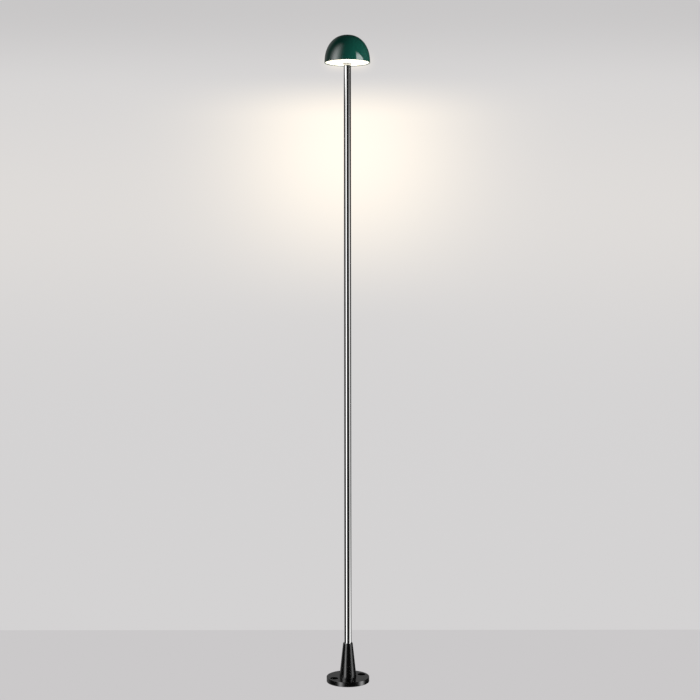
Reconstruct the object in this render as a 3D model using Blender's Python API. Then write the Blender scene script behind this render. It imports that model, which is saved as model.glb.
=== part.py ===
"""Pole light: a green dome shade with an opal disc under it, on a straight stainless pole in a screw-down
flanged socket. Metres, +Z up, -Y is the front. The origin is the middle of the flange's underside."""

import math

import bmesh
import bpy
from mathutils import Matrix, Vector

# Fits. GAP is the air between two pieces that touch or thread together.
GAP = 0.0003

# Whole light
LAMP_HEIGHT = 1.8016
POLE_DIAMETER = 0.020
POLE_WALL = 0.001

# Shade: a spun dome of one elliptical cap on a short flared skirt, with a beaded rim
SHADE_DIAMETER = 0.126
SHADE_HEIGHT = 0.0761
SKIRT_HEIGHT = 0.0117
SKIRT_FLARE = 0.0003
SHADE_WALL = 0.0012
BEAD_WIDTH = 0.0024
BEAD_HEIGHT = 0.0024
TAB_LENGTH = 0.0158
TAB_WIDTH = 0.012
TAB_THICKNESS = 0.002

# Diffuser, gasket and reflector pan
DIFFUSER_RECESS = 0.0012
DIFFUSER_THICKNESS = 0.0025
GASKET_WIDTH = 0.0026
GASKET_HEIGHT = 0.0015
PAN_DEPTH = 0.0082
PAN_WALL = 0.0015
PAN_LIP_INSET = 0.0017
PAN_SKIRT_RUN = 0.0034
PAN_SCREW_INSET = 0.013
PAN_SCREW_COUNT = 3
PAN_SCREW_START = 30.0

# Light source
BOARD_INNER_RADIUS = 0.018
BOARD_WALL = 0.0016
BOARD_CLEAR_OF_SCREWS = 0.0015
BOARD_SCREW_RADIUS = 0.024
BOARD_SCREW_COUNT = 3
BOARD_SCREW_START = 90.0
LED_COUNT = 8
LED_CIRCLE_RADIUS = 0.034
LED_SIDE = 0.003
LED_HEIGHT = 0.0009
CONNECTOR_SIZE = (0.006, 0.006, 0.003)
CONNECTOR_RADIUS = 0.022
LED_LEAD_DIAMETER = 0.003
GROMMET_RADIUS_FROM_AXIS = 0.0136
GROMMET_WALL = 0.0009
GROMMET_LIP = 0.0011
GROMMET_LIP_HEIGHT = 0.0012

# Driver
DRIVER_SIZE = (0.040, 0.024, 0.018)
DRIVER_SETBACK = 0.014
DRIVER_EAR = (0.010, 0.010, 0.0025)

# Neck stack
THREAD_DIAMETER = 0.010
THREAD_WALL = 0.0017
THREAD_ABOVE_PAN = 0.0125
BUSH_LENGTH = 0.024
COLLAR_DIAMETER = 0.0242
COLLAR_HEIGHT = 0.0049
COLLAR_CHAMFER = 0.0006
O_RING_SECTION = 0.0018
O_RING_RADIUS = 0.0085
SPACER_WALL = 0.0017
WASHER_DIAMETER = 0.018
WASHER_THICKNESS = 0.001
NUT_ACROSS_FLATS = 0.014
NUT_HEIGHT = 0.005

# Lead in the pole
CABLE_DIAMETER = 0.006
CABLE_RISE = 0.017
CABLE_BEND = 0.011
POLE_FOOT_BUSH_LENGTH = 0.012

# Base casting: flange and conical socket in one piece
FLANGE_DIAMETER = 0.120
FLANGE_THICKNESS = 0.0134
FLANGE_EDGE = 0.001
FLANGE_EDGE_BULGE = 0.3
SOCKET_HEIGHT = 0.0954
SOCKET_TOP_WALL = 0.0032
SOCKET_TOP_CHAMFER = 0.0005
FOOT_WALL = 0.00675
CAVITY_HEIGHT = 0.0305
SHOULDER_THICKNESS = 0.004
PASSAGE_DIAMETER = 0.015

# Two counterbored fixing holes, on a line turned from +X about +Z
FIXING_HOLE_DIAMETER = 0.011
COUNTERBORE_DIAMETER = 0.022
FIXING_FLOOR = 0.006
FIXING_CIRCLE_RADIUS = 0.043
FIXING_HOLE_ANGLES = (27.0, 207.0)

# Grub screws at the back of the socket
GRUB_DIAMETER = 0.005
GRUB_FROM_TOP = (0.017, 0.047)
GRUB_RECESS = 0.0008
GRUB_HEX = 0.0025
GRUB_HEX_DEPTH = 0.002

# Cover, gasket and screws under the cavity
COVER_THICKNESS = 0.0023
COVER_GASKET_THICKNESS = 0.001
COVER_SCREW_COUNT = 3
COVER_SCREW_START = 90.0
COVER_SCREW_FROM_CAVITY = 0.0032
COVER_EDGE = 0.0035
COVER_SCREW_BITE = 0.0083

# Cable gland in the cover
GLAND_LIFT = 0.0006
GLAND_THREAD_DIAMETER = 0.012
GLAND_BORE_DIAMETER = 0.0072
GLAND_HEX_ACROSS_FLATS = 0.016
GLAND_HEX_HEIGHT = 0.0024
GLAND_NUT_HEIGHT = 0.004
GLAND_THREAD_ABOVE_NUT = 0.0015
GLAND_NECK = 0.0021
GLAND_CAP_DIAMETER = 0.0160
GLAND_CAP_HEIGHT = 0.003
GLAND_CAP_LIP = 0.0009
GLAND_SEAL_DIAMETER = 0.0094
GLAND_SEAL_BORE = 0.0068
GLAND_SEAL_HEIGHT = 0.0028

# Terminal block hanging on the lead, and the earth screw in the cavity's roof
BLOCK_SIZE = (0.012, 0.020, 0.014)
BLOCK_SCREW_PITCH = 0.0062
BLOCK_SCREW_COUNT = 3
BLOCK_SCREW_LENGTH = 0.003
BLOCK_BELOW_ROOF = 0.007
EARTH_SCREW_FROM_SOCKET = 0.001
EARTH_SCREW_DEPTH = 0.005
LUG_RADIUS = 0.0042
LUG_THICKNESS = 0.001
EARTH_LEAD_DIAMETER = 0.0018
EARTH_LEAD_BEARING = 150.0
EARTH_TERMINAL_SHARE = 0.4

# Screws: shank diameter, head diameter, head height
M3 = (0.003, 0.0056, 0.0018)
M3_COVER = (0.003, 0.0058, 0.0019)
M4_PAN = (0.004, 0.007, 0.0022)
M4_EARTH = (0.004, 0.0064, 0.002)
SLOT_WIDTH = 0.0008
SLOT_DEPTH = 0.0006
SLOT_OVERRUN = 1.2
HEAD_CROWN_SHARE = 0.72
HEAD_SEAT_SHARE = 0.65

# Facets round a full turn
FINE = 48
ROUND = 28
SMALL = 14
TINY = 10
CREASE_DEGREES = 35

# Worked out: radii
POLE_R = POLE_DIAMETER / 2
POLE_BORE_R = POLE_R - POLE_WALL
THREAD_R = THREAD_DIAMETER / 2
THREAD_HOLE_R = THREAD_R + GAP
RIM_R = SHADE_DIAMETER / 2
CAP_R = RIM_R - SKIRT_FLARE
CAP_HEIGHT = SHADE_HEIGHT - SKIRT_HEIGHT
DIFFUSER_R = RIM_R - BEAD_WIDTH - GAP
PAN_LIP_R = RIM_R - SHADE_WALL - SKIRT_FLARE - PAN_LIP_INSET + GAP
PAN_SCREW_R = RIM_R - PAN_SCREW_INSET
BOARD_R = PAN_SCREW_R - M4_PAN[1] / 2 - BOARD_CLEAR_OF_SCREWS
SOCKET_BORE_R = POLE_R + GAP
EARTH_SCREW_R = SOCKET_BORE_R + EARTH_SCREW_FROM_SOCKET + M4_EARTH[0] / 2 + GAP
CAVITY_R = EARTH_SCREW_R + M4_EARTH[1] / 2 + GAP
COVER_SCREW_R = CAVITY_R + COVER_SCREW_FROM_CAVITY
COVER_R = COVER_SCREW_R + COVER_EDGE
SOCKET_FOOT_R = CAVITY_R + FOOT_WALL
SOCKET_TOP_R = SOCKET_BORE_R + SOCKET_TOP_WALL
FLANGE_R = FLANGE_DIAMETER / 2

# Worked out: heights in the base, from the floor up
GLAND_HEX_Z = GLAND_LIFT + GLAND_CAP_HEIGHT + GAP
COVER_Z = GLAND_HEX_Z + GLAND_HEX_HEIGHT + GAP
COVER_TOP_Z = COVER_Z + COVER_THICKNESS
COVER_GASKET_Z = COVER_TOP_Z + GAP
LEDGE_Z = COVER_GASKET_Z + COVER_GASKET_THICKNESS + GAP
CAVITY_ROOF_Z = LEDGE_Z + CAVITY_HEIGHT
SHOULDER_Z = CAVITY_ROOF_Z + SHOULDER_THICKNESS
SOCKET_TOP_Z = FLANGE_THICKNESS + SOCKET_HEIGHT
BLOCK_TOP_Z = CAVITY_ROOF_Z - BLOCK_BELOW_ROOF

# Worked out: heights in the head, from the rim up
RIM_Z = LAMP_HEIGHT - SHADE_HEIGHT
DIFFUSER_Z = RIM_Z + DIFFUSER_RECESS
DIFFUSER_TOP_Z = DIFFUSER_Z + DIFFUSER_THICKNESS
GASKET_Z = DIFFUSER_TOP_Z + GAP
PAN_LIP_Z = GASKET_Z + GASKET_HEIGHT + GAP
PAN_Z = PAN_LIP_Z + PAN_DEPTH
PAN_TOP_Z = PAN_Z + PAN_WALL
TAB_Z = PAN_TOP_Z + GAP
BOARD_TOP_Z = PAN_Z - GAP
BOARD_Z = BOARD_TOP_Z - BOARD_WALL
COLLAR_TOP_Z = DIFFUSER_Z - GAP
COLLAR_Z = COLLAR_TOP_Z - COLLAR_HEIGHT
POLE_TOP_Z = COLLAR_Z - GAP
WASHER_Z = PAN_TOP_Z + GAP
NUT_Z = WASHER_Z + WASHER_THICKNESS + GAP
THREAD_TOP_Z = PAN_TOP_Z + THREAD_ABOVE_PAN
DRIVER_Z = PAN_TOP_Z + GAP
DRIVER_TOP_Z = DRIVER_Z + DRIVER_SIZE[2]

MATERIALS = {
    "green_enamel": ((0.006, 0.060, 0.046), 0.16, 0.0),
    "opal": ((0.95, 0.93, 0.86), 0.45, 0.0),
    "polished_stainless": ((0.78, 0.78, 0.77), 0.12, 1.0),
    "black_powder_coat": ((0.012, 0.012, 0.012), 0.42, 0.0),
    "zinc_steel": ((0.62, 0.63, 0.64), 0.35, 1.0),
    "brass": ((0.72, 0.52, 0.22), 0.3, 1.0),
    "white_paint": ((0.85, 0.85, 0.83), 0.5, 0.0),
    "aluminium_board": ((0.80, 0.80, 0.80), 0.45, 0.6),
    "led_phosphor": ((0.95, 0.78, 0.30), 0.5, 0.0),
    "silicone": ((0.75, 0.75, 0.73), 0.6, 0.0),
    "black_rubber": ((0.02, 0.02, 0.02), 0.7, 0.0),
    "black_nylon": ((0.03, 0.03, 0.03), 0.5, 0.0),
    "white_nylon": ((0.82, 0.82, 0.80), 0.45, 0.0),
    "driver_plastic": ((0.30, 0.31, 0.32), 0.5, 0.0),
    "earth_green": ((0.10, 0.35, 0.08), 0.5, 0.0),
}


def material(name):
    """The named Principled material, made the first time it is asked for."""
    found = bpy.data.materials.get(name)
    if found:
        return found
    made = bpy.data.materials.new(name)
    made.use_nodes = True
    shader = made.node_tree.nodes["Principled BSDF"]
    color, roughness, metallic = MATERIALS[name]
    shader.inputs["Base Color"].default_value = (*color, 1.0)
    shader.inputs["Roughness"].default_value = roughness
    shader.inputs["Metallic"].default_value = metallic
    return made


def finish_mesh(name, bm, finish=None):
    """Turns a bmesh into an object. Without a finish it is a cutter or a filler, which is never drawn."""
    bmesh.ops.recalc_face_normals(bm, faces=bm.faces)
    mesh = bpy.data.meshes.new(name)
    bm.to_mesh(mesh)
    bm.free()
    mesh.shade_smooth()
    mesh.set_sharp_from_angle(angle=math.radians(CREASE_DEGREES))
    obj = bpy.data.objects.new(name, mesh)
    bpy.context.scene.collection.objects.link(obj)
    if finish:
        mesh.materials.append(material(finish))
    else:
        obj.hide_render = True
        obj.display_type = "WIRE"
    return obj


def turned(name, profile, facets, finish=None, place=None):
    """A closed outline of (radius, height) points, turned about +Z and then put in place by a matrix."""
    bm = bmesh.new()
    points = [bm.verts.new((radius, 0.0, height)) for radius, height in profile]
    edges = [bm.edges.new((a, b)) for a, b in zip(points, points[1:] + points[:1])]
    bmesh.ops.spin(
        bm,
        geom=points + edges,
        cent=(0, 0, 0),
        axis=(0, 0, 1),
        angle=math.tau,
        steps=facets,
        use_merge=True,
    )
    bmesh.ops.remove_doubles(bm, verts=bm.verts, dist=1e-6)
    bmesh.ops.transform(bm, matrix=place or Matrix(), verts=bm.verts)
    return finish_mesh(name, bm, finish)


def disc(name, radius, low, high, facets, finish=None, place=None):
    """A solid round bar."""
    return turned(name, [(0, low), (radius, low), (radius, high), (0, high)], facets, finish, place)


def ring(name, inner, outer, low, high, facets, finish=None, place=None):
    """A plain round ring with a square section."""
    profile = [(inner, low), (outer, low), (outer, high), (inner, high)]
    return turned(name, profile, facets, finish, place)


def box(name, size, centre, finish=None, turn=0.0):
    """A box by its full size and centre, turned about +Z."""
    bm = bmesh.new()
    bmesh.ops.create_cube(bm, size=1.0)
    bmesh.ops.scale(bm, vec=size, verts=bm.verts)
    place = Matrix.Rotation(turn, 4, "Z") @ Matrix.Translation(centre)
    bmesh.ops.transform(bm, matrix=place, verts=bm.verts)
    return finish_mesh(name, bm, finish)


def hexagon(name, across_flats, low, high, finish=None):
    """A hexagonal prism on the Z axis."""
    return disc(name, across_flats / math.sqrt(3), low, high, 6, finish)


def boolean(obj, other, operation):
    """Adds an exact Boolean with a hidden helper."""
    modifier = obj.modifiers.new(other.name, "BOOLEAN")
    modifier.object = other
    modifier.operation = operation
    modifier.solver = "EXACT"


def cut(obj, *cutters):
    for cutter in cutters:
        boolean(obj, cutter, "DIFFERENCE")
    return obj


def weld(obj, *fillers):
    for filler in fillers:
        boolean(obj, filler, "UNION")
    return obj


def at(radius, degrees, height=0.0):
    """A point on a circle round the Z axis."""
    angle = math.radians(degrees)
    return Vector((radius * math.cos(angle), radius * math.sin(angle), height))


def spread(count, start):
    """Angles of a bolt circle, in degrees."""
    return [start + 360.0 * step / count for step in range(count)]


def screw(name, size, head_low, tip, centre, finish):
    """A pan-head screw along Z with a driving slot. It points from its head at head_low to its tip."""
    shank, head, head_height = size
    up = 1.0 if tip > head_low else -1.0
    seat = head_height * HEAD_SEAT_SHARE
    length = abs(tip - head_low)
    profile = [
        (0, 0),
        (head / 2 * HEAD_CROWN_SHARE, 0),
        (head / 2, head_height - seat),
        (head / 2, head_height),
        (shank / 2, head_height),
        (shank / 2, length - shank / 4),
        (shank / 4, length),
        (0, length),
    ]
    place = Matrix.Translation((centre.x, centre.y, head_low)) @ Matrix.Diagonal((1, 1, up, 1))
    body = turned(name, profile, TINY, finish, place)
    slot = box(
        name + "_slot_cutter",
        (head * SLOT_OVERRUN, SLOT_WIDTH, 2 * SLOT_DEPTH),
        (centre.x, centre.y, head_low),
    )
    return cut(body, slot)


def rounded_path(corners, radius, steps=6):
    """The corners of a route with each inner corner replaced by an arc of the given radius."""
    points = [Vector(corners[0])]
    for before, corner, after in zip(corners, corners[1:], corners[2:]):
        corner = Vector(corner)
        back = (Vector(before) - corner).normalized()
        on = (Vector(after) - corner).normalized()
        half = back.angle(on) / 2
        reach = radius / math.tan(half)
        centre = corner + (back + on).normalized() * radius / math.sin(half)
        first = corner + back * reach - centre
        last = corner + on * reach - centre
        turn, axis = first.angle(last), first.cross(last)
        for step in range(steps + 1):
            points.append(centre + Matrix.Rotation(turn * step / steps, 3, axis) @ first)
    return points + [Vector(corners[-1])]


def lead(name, points, diameter, finish, resolution=3):
    """A round lead along a route, closed at both ends."""
    curve = bpy.data.curves.new(name, "CURVE")
    curve.dimensions = "3D"
    curve.bevel_depth = diameter / 2
    curve.bevel_resolution = resolution
    curve.use_fill_caps = True
    spline = curve.splines.new("POLY")
    spline.points.add(len(points) - 1)
    for slot, point in zip(spline.points, points):
        slot.co = (*point, 1.0)
    curve.materials.append(material(finish))
    obj = bpy.data.objects.new(name, curve)
    bpy.context.scene.collection.objects.link(obj)
    return obj


def cap_point(radius, height, turn):
    """A point on the shade's elliptical cap, from its shoulder (0) to its apex (1)."""
    angle = turn * math.pi / 2
    return radius * math.cos(angle), RIM_Z + SKIRT_HEIGHT + height * math.sin(angle)


def make_shade():
    """The dome with its beaded rim and the welded tabs that the reflector pan screws to."""
    outer_steps = 11
    inner_steps = 9
    bead_round = BEAD_WIDTH / 4
    wall_r = CAP_R - SHADE_WALL
    profile = [cap_point(CAP_R, CAP_HEIGHT, step / outer_steps) for step in range(outer_steps, -1, -1)]
    profile += [
        (RIM_R, RIM_Z + bead_round),
        (RIM_R - bead_round, RIM_Z),
        (RIM_R - BEAD_WIDTH + bead_round, RIM_Z),
        (RIM_R - BEAD_WIDTH, RIM_Z + bead_round),
        (RIM_R - BEAD_WIDTH, RIM_Z + BEAD_HEIGHT),
        (wall_r, RIM_Z + BEAD_HEIGHT + bead_round),
    ]
    inner_height = CAP_HEIGHT - SHADE_WALL
    profile += [cap_point(wall_r, inner_height, step / inner_steps) for step in range(inner_steps + 1)]
    shade = turned("shade_dome", profile, FINE, "green_enamel")
    root_r = wall_r + SHADE_WALL / 2 - TAB_WIDTH**2 / (8 * wall_r)
    for number, angle in enumerate(spread(PAN_SCREW_COUNT, PAN_SCREW_START), 1):
        middle = root_r - TAB_LENGTH / 2
        tab = box(
            f"tab_filler_{number}",
            (TAB_LENGTH, TAB_WIDTH, TAB_THICKNESS),
            (middle, 0, TAB_Z + TAB_THICKNESS / 2),
            turn=math.radians(angle),
        )
        hole = disc(
            f"tab_hole_cutter_{number}",
            M4_PAN[0] / 2 + GAP,
            TAB_Z - TAB_THICKNESS,
            TAB_Z + 2 * TAB_THICKNESS,
            SMALL,
            place=Matrix.Translation(at(PAN_SCREW_R, angle)),
        )
        weld(shade, tab)
        cut(shade, hole)


def make_diffuser():
    """The opal disc in the rim and the flat gasket between it and the reflector pan."""
    edge = DIFFUSER_THICKNESS / 6
    profile = [
        (THREAD_HOLE_R, DIFFUSER_Z),
        (DIFFUSER_R - edge, DIFFUSER_Z),
        (DIFFUSER_R, DIFFUSER_Z + edge),
        (DIFFUSER_R, DIFFUSER_TOP_Z),
        (THREAD_HOLE_R, DIFFUSER_TOP_Z),
    ]
    turned("opal_diffuser", profile, FINE, "opal")
    outer = DIFFUSER_R - GAP / 2
    top = GASKET_Z + GASKET_HEIGHT
    ring("diffuser_gasket", outer - GASKET_WIDTH, outer, GASKET_Z, top, FINE, "silicone")


def make_reflector_pan():
    """The white dished plate that carries the board below it and the driver above it."""
    lip_inner = PAN_LIP_R - PAN_WALL
    profile = [
        (THREAD_HOLE_R, PAN_Z),
        (lip_inner - PAN_SKIRT_RUN, PAN_Z),
        (lip_inner, PAN_LIP_Z),
        (PAN_LIP_R, PAN_LIP_Z),
        (PAN_LIP_R - PAN_SKIRT_RUN, PAN_TOP_Z),
        (THREAD_HOLE_R, PAN_TOP_Z),
    ]
    pan = turned("reflector_pan", profile, FINE, "white_paint")
    low, high = PAN_Z - PAN_WALL, PAN_TOP_Z + PAN_WALL
    for number, angle in enumerate(spread(PAN_SCREW_COUNT, PAN_SCREW_START), 1):
        place = Matrix.Translation(at(PAN_SCREW_R, angle))
        cut(pan, disc(f"pan_screw_hole_{number}", M4_PAN[0] / 2 + GAP, low, high, SMALL, place=place))
        screw(
            f"pan_screw_{number}",
            M4_PAN,
            PAN_Z - GAP - M4_PAN[2],
            TAB_Z + TAB_THICKNESS + M4_PAN[2] / 2,
            at(PAN_SCREW_R, angle),
            "zinc_steel",
        )
    for number, angle in enumerate(spread(BOARD_SCREW_COUNT, BOARD_SCREW_START), 1):
        place = Matrix.Translation(at(BOARD_SCREW_RADIUS, angle))
        cut(pan, disc(f"board_screw_hole_{number}", M3[0] / 2 + GAP, low, high, SMALL, place=place))
    for number, side in enumerate((-1, 1), 1):
        place = Matrix.Translation((side * ear_screw_x(), driver_y(), 0))
        cut(pan, disc(f"driver_screw_hole_{number}", M3[0] / 2 + GAP, low, high, SMALL, place=place))
    place = Matrix.Translation((-GROMMET_RADIUS_FROM_AXIS, 0, 0))
    cut(pan, disc("grommet_hole", grommet_waist() + GAP, low, high, SMALL, place=place))


def grommet_waist():
    """Outer radius of the grommet where it passes through the pan."""
    return LED_LEAD_DIAMETER / 2 + GAP + GROMMET_WALL


def make_board():
    """The ring-shaped board with its screws, light-emitting chips and lead connector."""
    board = ring("led_board", BOARD_INNER_RADIUS, BOARD_R, BOARD_Z, BOARD_TOP_Z, FINE, "aluminium_board")
    for number, angle in enumerate(spread(BOARD_SCREW_COUNT, BOARD_SCREW_START), 1):
        place = Matrix.Translation(at(BOARD_SCREW_RADIUS, angle))
        low, high = BOARD_Z - BOARD_WALL, BOARD_TOP_Z + BOARD_WALL
        cut(board, disc(f"board_hole_{number}", M3[0] / 2 + GAP, low, high, SMALL, place=place))
        head_low = BOARD_Z - GAP - M3[2]
        tip = PAN_TOP_Z + GAP
        screw(f"board_screw_{number}", M3, head_low, tip, at(BOARD_SCREW_RADIUS, angle), "zinc_steel")
    chip_z = BOARD_Z - GAP - LED_HEIGHT / 2
    for number, angle in enumerate(spread(LED_COUNT, 180.0 / LED_COUNT), 1):
        centre = (LED_CIRCLE_RADIUS, 0, chip_z)
        size = (LED_SIDE, LED_SIDE, LED_HEIGHT)
        box(f"led_chip_{number}", size, centre, "led_phosphor", math.radians(angle))
    length, width, height = CONNECTOR_SIZE
    centre = (-CONNECTOR_RADIUS, 0, BOARD_Z - GAP - height / 2)
    box("board_connector", (length, width, height), centre, "white_nylon")


def driver_y():
    """The driver's middle, behind the neck."""
    return DRIVER_SETBACK + DRIVER_SIZE[1] / 2


def ear_screw_x():
    """How far the driver's screws are from its middle."""
    return DRIVER_SIZE[0] / 2 + DRIVER_EAR[0] / 2


def make_driver():
    """The potted driver on the pan, with an ear and a screw at each end."""
    length, width, height = DRIVER_SIZE
    middle = (0, driver_y(), DRIVER_Z + height / 2)
    driver = box("led_driver", (length, width, height), middle, "driver_plastic")
    ears = (length + 2 * DRIVER_EAR[0], DRIVER_EAR[1], DRIVER_EAR[2])
    weld(driver, box("driver_ears_filler", ears, (0, driver_y(), DRIVER_Z + DRIVER_EAR[2] / 2)))
    for number, side in enumerate((-1, 1), 1):
        centre = Vector((side * ear_screw_x(), driver_y(), 0))
        place = Matrix.Translation(centre)
        top = DRIVER_Z + DRIVER_EAR[2]
        low, high = DRIVER_Z - DRIVER_EAR[2], top + DRIVER_EAR[2]
        cut(driver, disc(f"ear_hole_{number}", M3[0] / 2 + GAP, low, high, SMALL, place=place))
        screw(f"driver_screw_{number}", M3, top + GAP + M3[2], PAN_Z, centre, "zinc_steel")


def make_led_lead():
    """The lead from the driver down through its grommet to the board, and that grommet."""
    x = -GROMMET_RADIUS_FROM_AXIS
    bend = LED_LEAD_DIAMETER
    lead_z = DRIVER_Z + DRIVER_SIZE[2] / 2
    connector_z = BOARD_Z - GAP - CONNECTOR_SIZE[2] / 2
    connector_x = CONNECTOR_SIZE[0] / 2 - CONNECTOR_RADIUS + GAP
    corners = [
        (x, DRIVER_SETBACK - GAP, lead_z),
        (x, 0, lead_z),
        (x, 0, connector_z),
        (connector_x, 0, connector_z),
    ]
    lead("led_lead", rounded_path(corners, bend), LED_LEAD_DIAMETER, "black_rubber", 2)
    inner = LED_LEAD_DIAMETER / 2 + GAP
    waist = grommet_waist()
    lip = waist + GROMMET_LIP
    under, over = PAN_Z - GAP, PAN_TOP_Z + GAP
    profile = [
        (inner, under - GROMMET_LIP_HEIGHT),
        (lip, under - GROMMET_LIP_HEIGHT),
        (lip, under),
        (waist, under),
        (waist, over),
        (lip, over),
        (lip, over + GROMMET_LIP_HEIGHT),
        (inner, over + GROMMET_LIP_HEIGHT),
    ]
    turned("pan_grommet", profile, SMALL, "black_rubber", Matrix.Translation((x, 0, 0)))


def make_neck():
    """What joins the head to the pole: bush, threaded tube, collar, O-ring, spacer, washer and nut."""
    bore_r = POLE_BORE_R - GAP
    bush_z = POLE_TOP_Z - BUSH_LENGTH
    ring("pole_top_bush", THREAD_HOLE_R, bore_r, bush_z, POLE_TOP_Z, ROUND, "zinc_steel")
    thread_bore = THREAD_R - THREAD_WALL
    ring("threaded_tube", thread_bore, THREAD_R, bush_z, THREAD_TOP_Z, SMALL, "zinc_steel")
    collar_r = COLLAR_DIAMETER / 2
    groove_in = O_RING_RADIUS - O_RING_SECTION / 2 - GAP
    groove_out = O_RING_RADIUS + O_RING_SECTION / 2 + GAP
    groove_z = DIFFUSER_Z - 2 * GAP - O_RING_SECTION
    profile = [
        (THREAD_HOLE_R, COLLAR_Z),
        (collar_r - COLLAR_CHAMFER, COLLAR_Z),
        (collar_r, COLLAR_Z + COLLAR_CHAMFER),
        (collar_r, COLLAR_TOP_Z - COLLAR_CHAMFER),
        (collar_r - COLLAR_CHAMFER, COLLAR_TOP_Z),
        (groove_out, COLLAR_TOP_Z),
        (groove_out, groove_z),
        (groove_in, groove_z),
        (groove_in, COLLAR_TOP_Z),
        (THREAD_HOLE_R, COLLAR_TOP_Z),
    ]
    turned("neck_collar", profile, ROUND, "polished_stainless")
    ring_r = O_RING_SECTION / 2
    ring_z = groove_z + GAP + ring_r
    sides = 8
    section = [math.tau * (side + 0.5) / sides for side in range(sides)]
    profile = [(O_RING_RADIUS + ring_r * math.cos(a), ring_z + ring_r * math.sin(a)) for a in section]
    turned("neck_o_ring", profile, ROUND, "black_rubber")
    spacer_z = DIFFUSER_TOP_Z + GAP
    spacer_r = THREAD_HOLE_R + SPACER_WALL
    ring("spacer_sleeve", THREAD_HOLE_R, spacer_r, spacer_z, PAN_Z - GAP, ROUND, "zinc_steel")
    washer_r = WASHER_DIAMETER / 2
    ring("pan_washer", THREAD_HOLE_R, washer_r, WASHER_Z, WASHER_Z + WASHER_THICKNESS, ROUND, "zinc_steel")
    nut = hexagon("pan_lock_nut", NUT_ACROSS_FLATS, NUT_Z, NUT_Z + NUT_HEIGHT, "zinc_steel")
    cut(nut, disc("nut_bore_cutter", THREAD_HOLE_R, NUT_Z - NUT_HEIGHT, NUT_Z + 2 * NUT_HEIGHT, SMALL))


def make_pole():
    """The straight tube, the bush at its foot, and the lead held inside it from the driver to the base."""
    ring("pole_tube", POLE_BORE_R, POLE_R, SHOULDER_Z + GAP, POLE_TOP_Z, ROUND, "polished_stainless")
    inner = CABLE_DIAMETER / 2 + GAP
    foot = SHOULDER_Z + GAP
    outer = POLE_BORE_R - GAP
    ring("pole_foot_bush", inner, outer, foot, foot + POLE_FOOT_BUSH_LENGTH, SMALL, "black_nylon")
    crown_z = DRIVER_TOP_Z + CABLE_RISE
    corners = [
        (0, 0, BLOCK_TOP_Z + GAP),
        (0, 0, crown_z),
        (0, 2 * CABLE_BEND, crown_z),
        (0, 2 * CABLE_BEND, DRIVER_TOP_Z + GAP),
    ]
    lead("pole_cable", rounded_path(corners, CABLE_BEND - GAP, 8), CABLE_DIAMETER, "black_rubber", 2)


def socket_radius(height):
    """Outer radius of the conical socket at a height above the floor."""
    share = (height - FLANGE_THICKNESS) / SOCKET_HEIGHT
    return SOCKET_FOOT_R + (SOCKET_TOP_R - SOCKET_FOOT_R) * share


def make_base_casting():
    """The flange and conical socket in one piece, hollow below for the wiring."""
    recess_r = COVER_R + GAP
    edge_bulge = FLANGE_EDGE * FLANGE_EDGE_BULGE
    profile = [
        (recess_r, 0),
        (FLANGE_R - FLANGE_EDGE / 2, 0),
        (FLANGE_R, FLANGE_EDGE / 2),
        (FLANGE_R, FLANGE_THICKNESS - FLANGE_EDGE),
        (FLANGE_R - edge_bulge, FLANGE_THICKNESS - edge_bulge),
        (FLANGE_R - FLANGE_EDGE, FLANGE_THICKNESS),
        (SOCKET_FOOT_R + FLANGE_EDGE, FLANGE_THICKNESS),
        (socket_radius(FLANGE_THICKNESS + FLANGE_EDGE), FLANGE_THICKNESS + FLANGE_EDGE),
        (SOCKET_TOP_R, SOCKET_TOP_Z - SOCKET_TOP_CHAMFER),
        (SOCKET_TOP_R - SOCKET_TOP_CHAMFER, SOCKET_TOP_Z),
        (SOCKET_BORE_R, SOCKET_TOP_Z),
        (SOCKET_BORE_R, SHOULDER_Z),
        (PASSAGE_DIAMETER / 2, SHOULDER_Z),
        (PASSAGE_DIAMETER / 2, CAVITY_ROOF_Z),
        (CAVITY_R, CAVITY_ROOF_Z),
        (CAVITY_R, LEDGE_Z),
        (recess_r, LEDGE_Z),
    ]
    casting = turned("base_casting", profile, FINE, "black_powder_coat")
    for number, angle in enumerate(FIXING_HOLE_ANGLES, 1):
        place = Matrix.Translation(at(FIXING_CIRCLE_RADIUS, angle))
        hole_r, bore_r = FIXING_HOLE_DIAMETER / 2, COUNTERBORE_DIAMETER / 2
        over = 2 * FLANGE_THICKNESS
        stepped = [
            (0, -FLANGE_THICKNESS),
            (hole_r, -FLANGE_THICKNESS),
            (hole_r, FIXING_FLOOR),
            (bore_r, FIXING_FLOOR),
            (bore_r, over),
            (0, over),
        ]
        cut(casting, turned(f"fixing_hole_cutter_{number}", stepped, ROUND, place=place))
    for number, angle in enumerate(spread(COVER_SCREW_COUNT, COVER_SCREW_START), 1):
        place = Matrix.Translation(at(COVER_SCREW_R, angle))
        top = LEDGE_Z + COVER_SCREW_BITE
        hole_r = M3_COVER[0] / 2 + GAP
        cut(casting, disc(f"cover_tap_cutter_{number}", hole_r, 0, top, SMALL, place=place))
    place = Matrix.Translation((EARTH_SCREW_R, 0, 0))
    top = CAVITY_ROOF_Z + EARTH_SCREW_DEPTH + GAP
    hole_r = M4_EARTH[0] / 2 + GAP
    low = CAVITY_ROOF_Z - EARTH_SCREW_DEPTH
    cut(casting, disc("earth_tap_cutter", hole_r, low, top, SMALL, place=place))
    for number, down in enumerate(GRUB_FROM_TOP, 1):
        hole_r = GRUB_DIAMETER / 2 + GAP
        place = towards_back(SOCKET_TOP_Z - down)
        reach = 2 * SOCKET_FOOT_R
        cut(casting, disc(f"grub_tap_cutter_{number}", hole_r, 0, reach, SMALL, place=place))


def towards_back(height):
    """Turns +Z into +Y and lifts to a height, for what lies across the socket."""
    return Matrix.Translation((0, 0, height)) @ Matrix.Rotation(-math.pi / 2, 4, "X")


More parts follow.
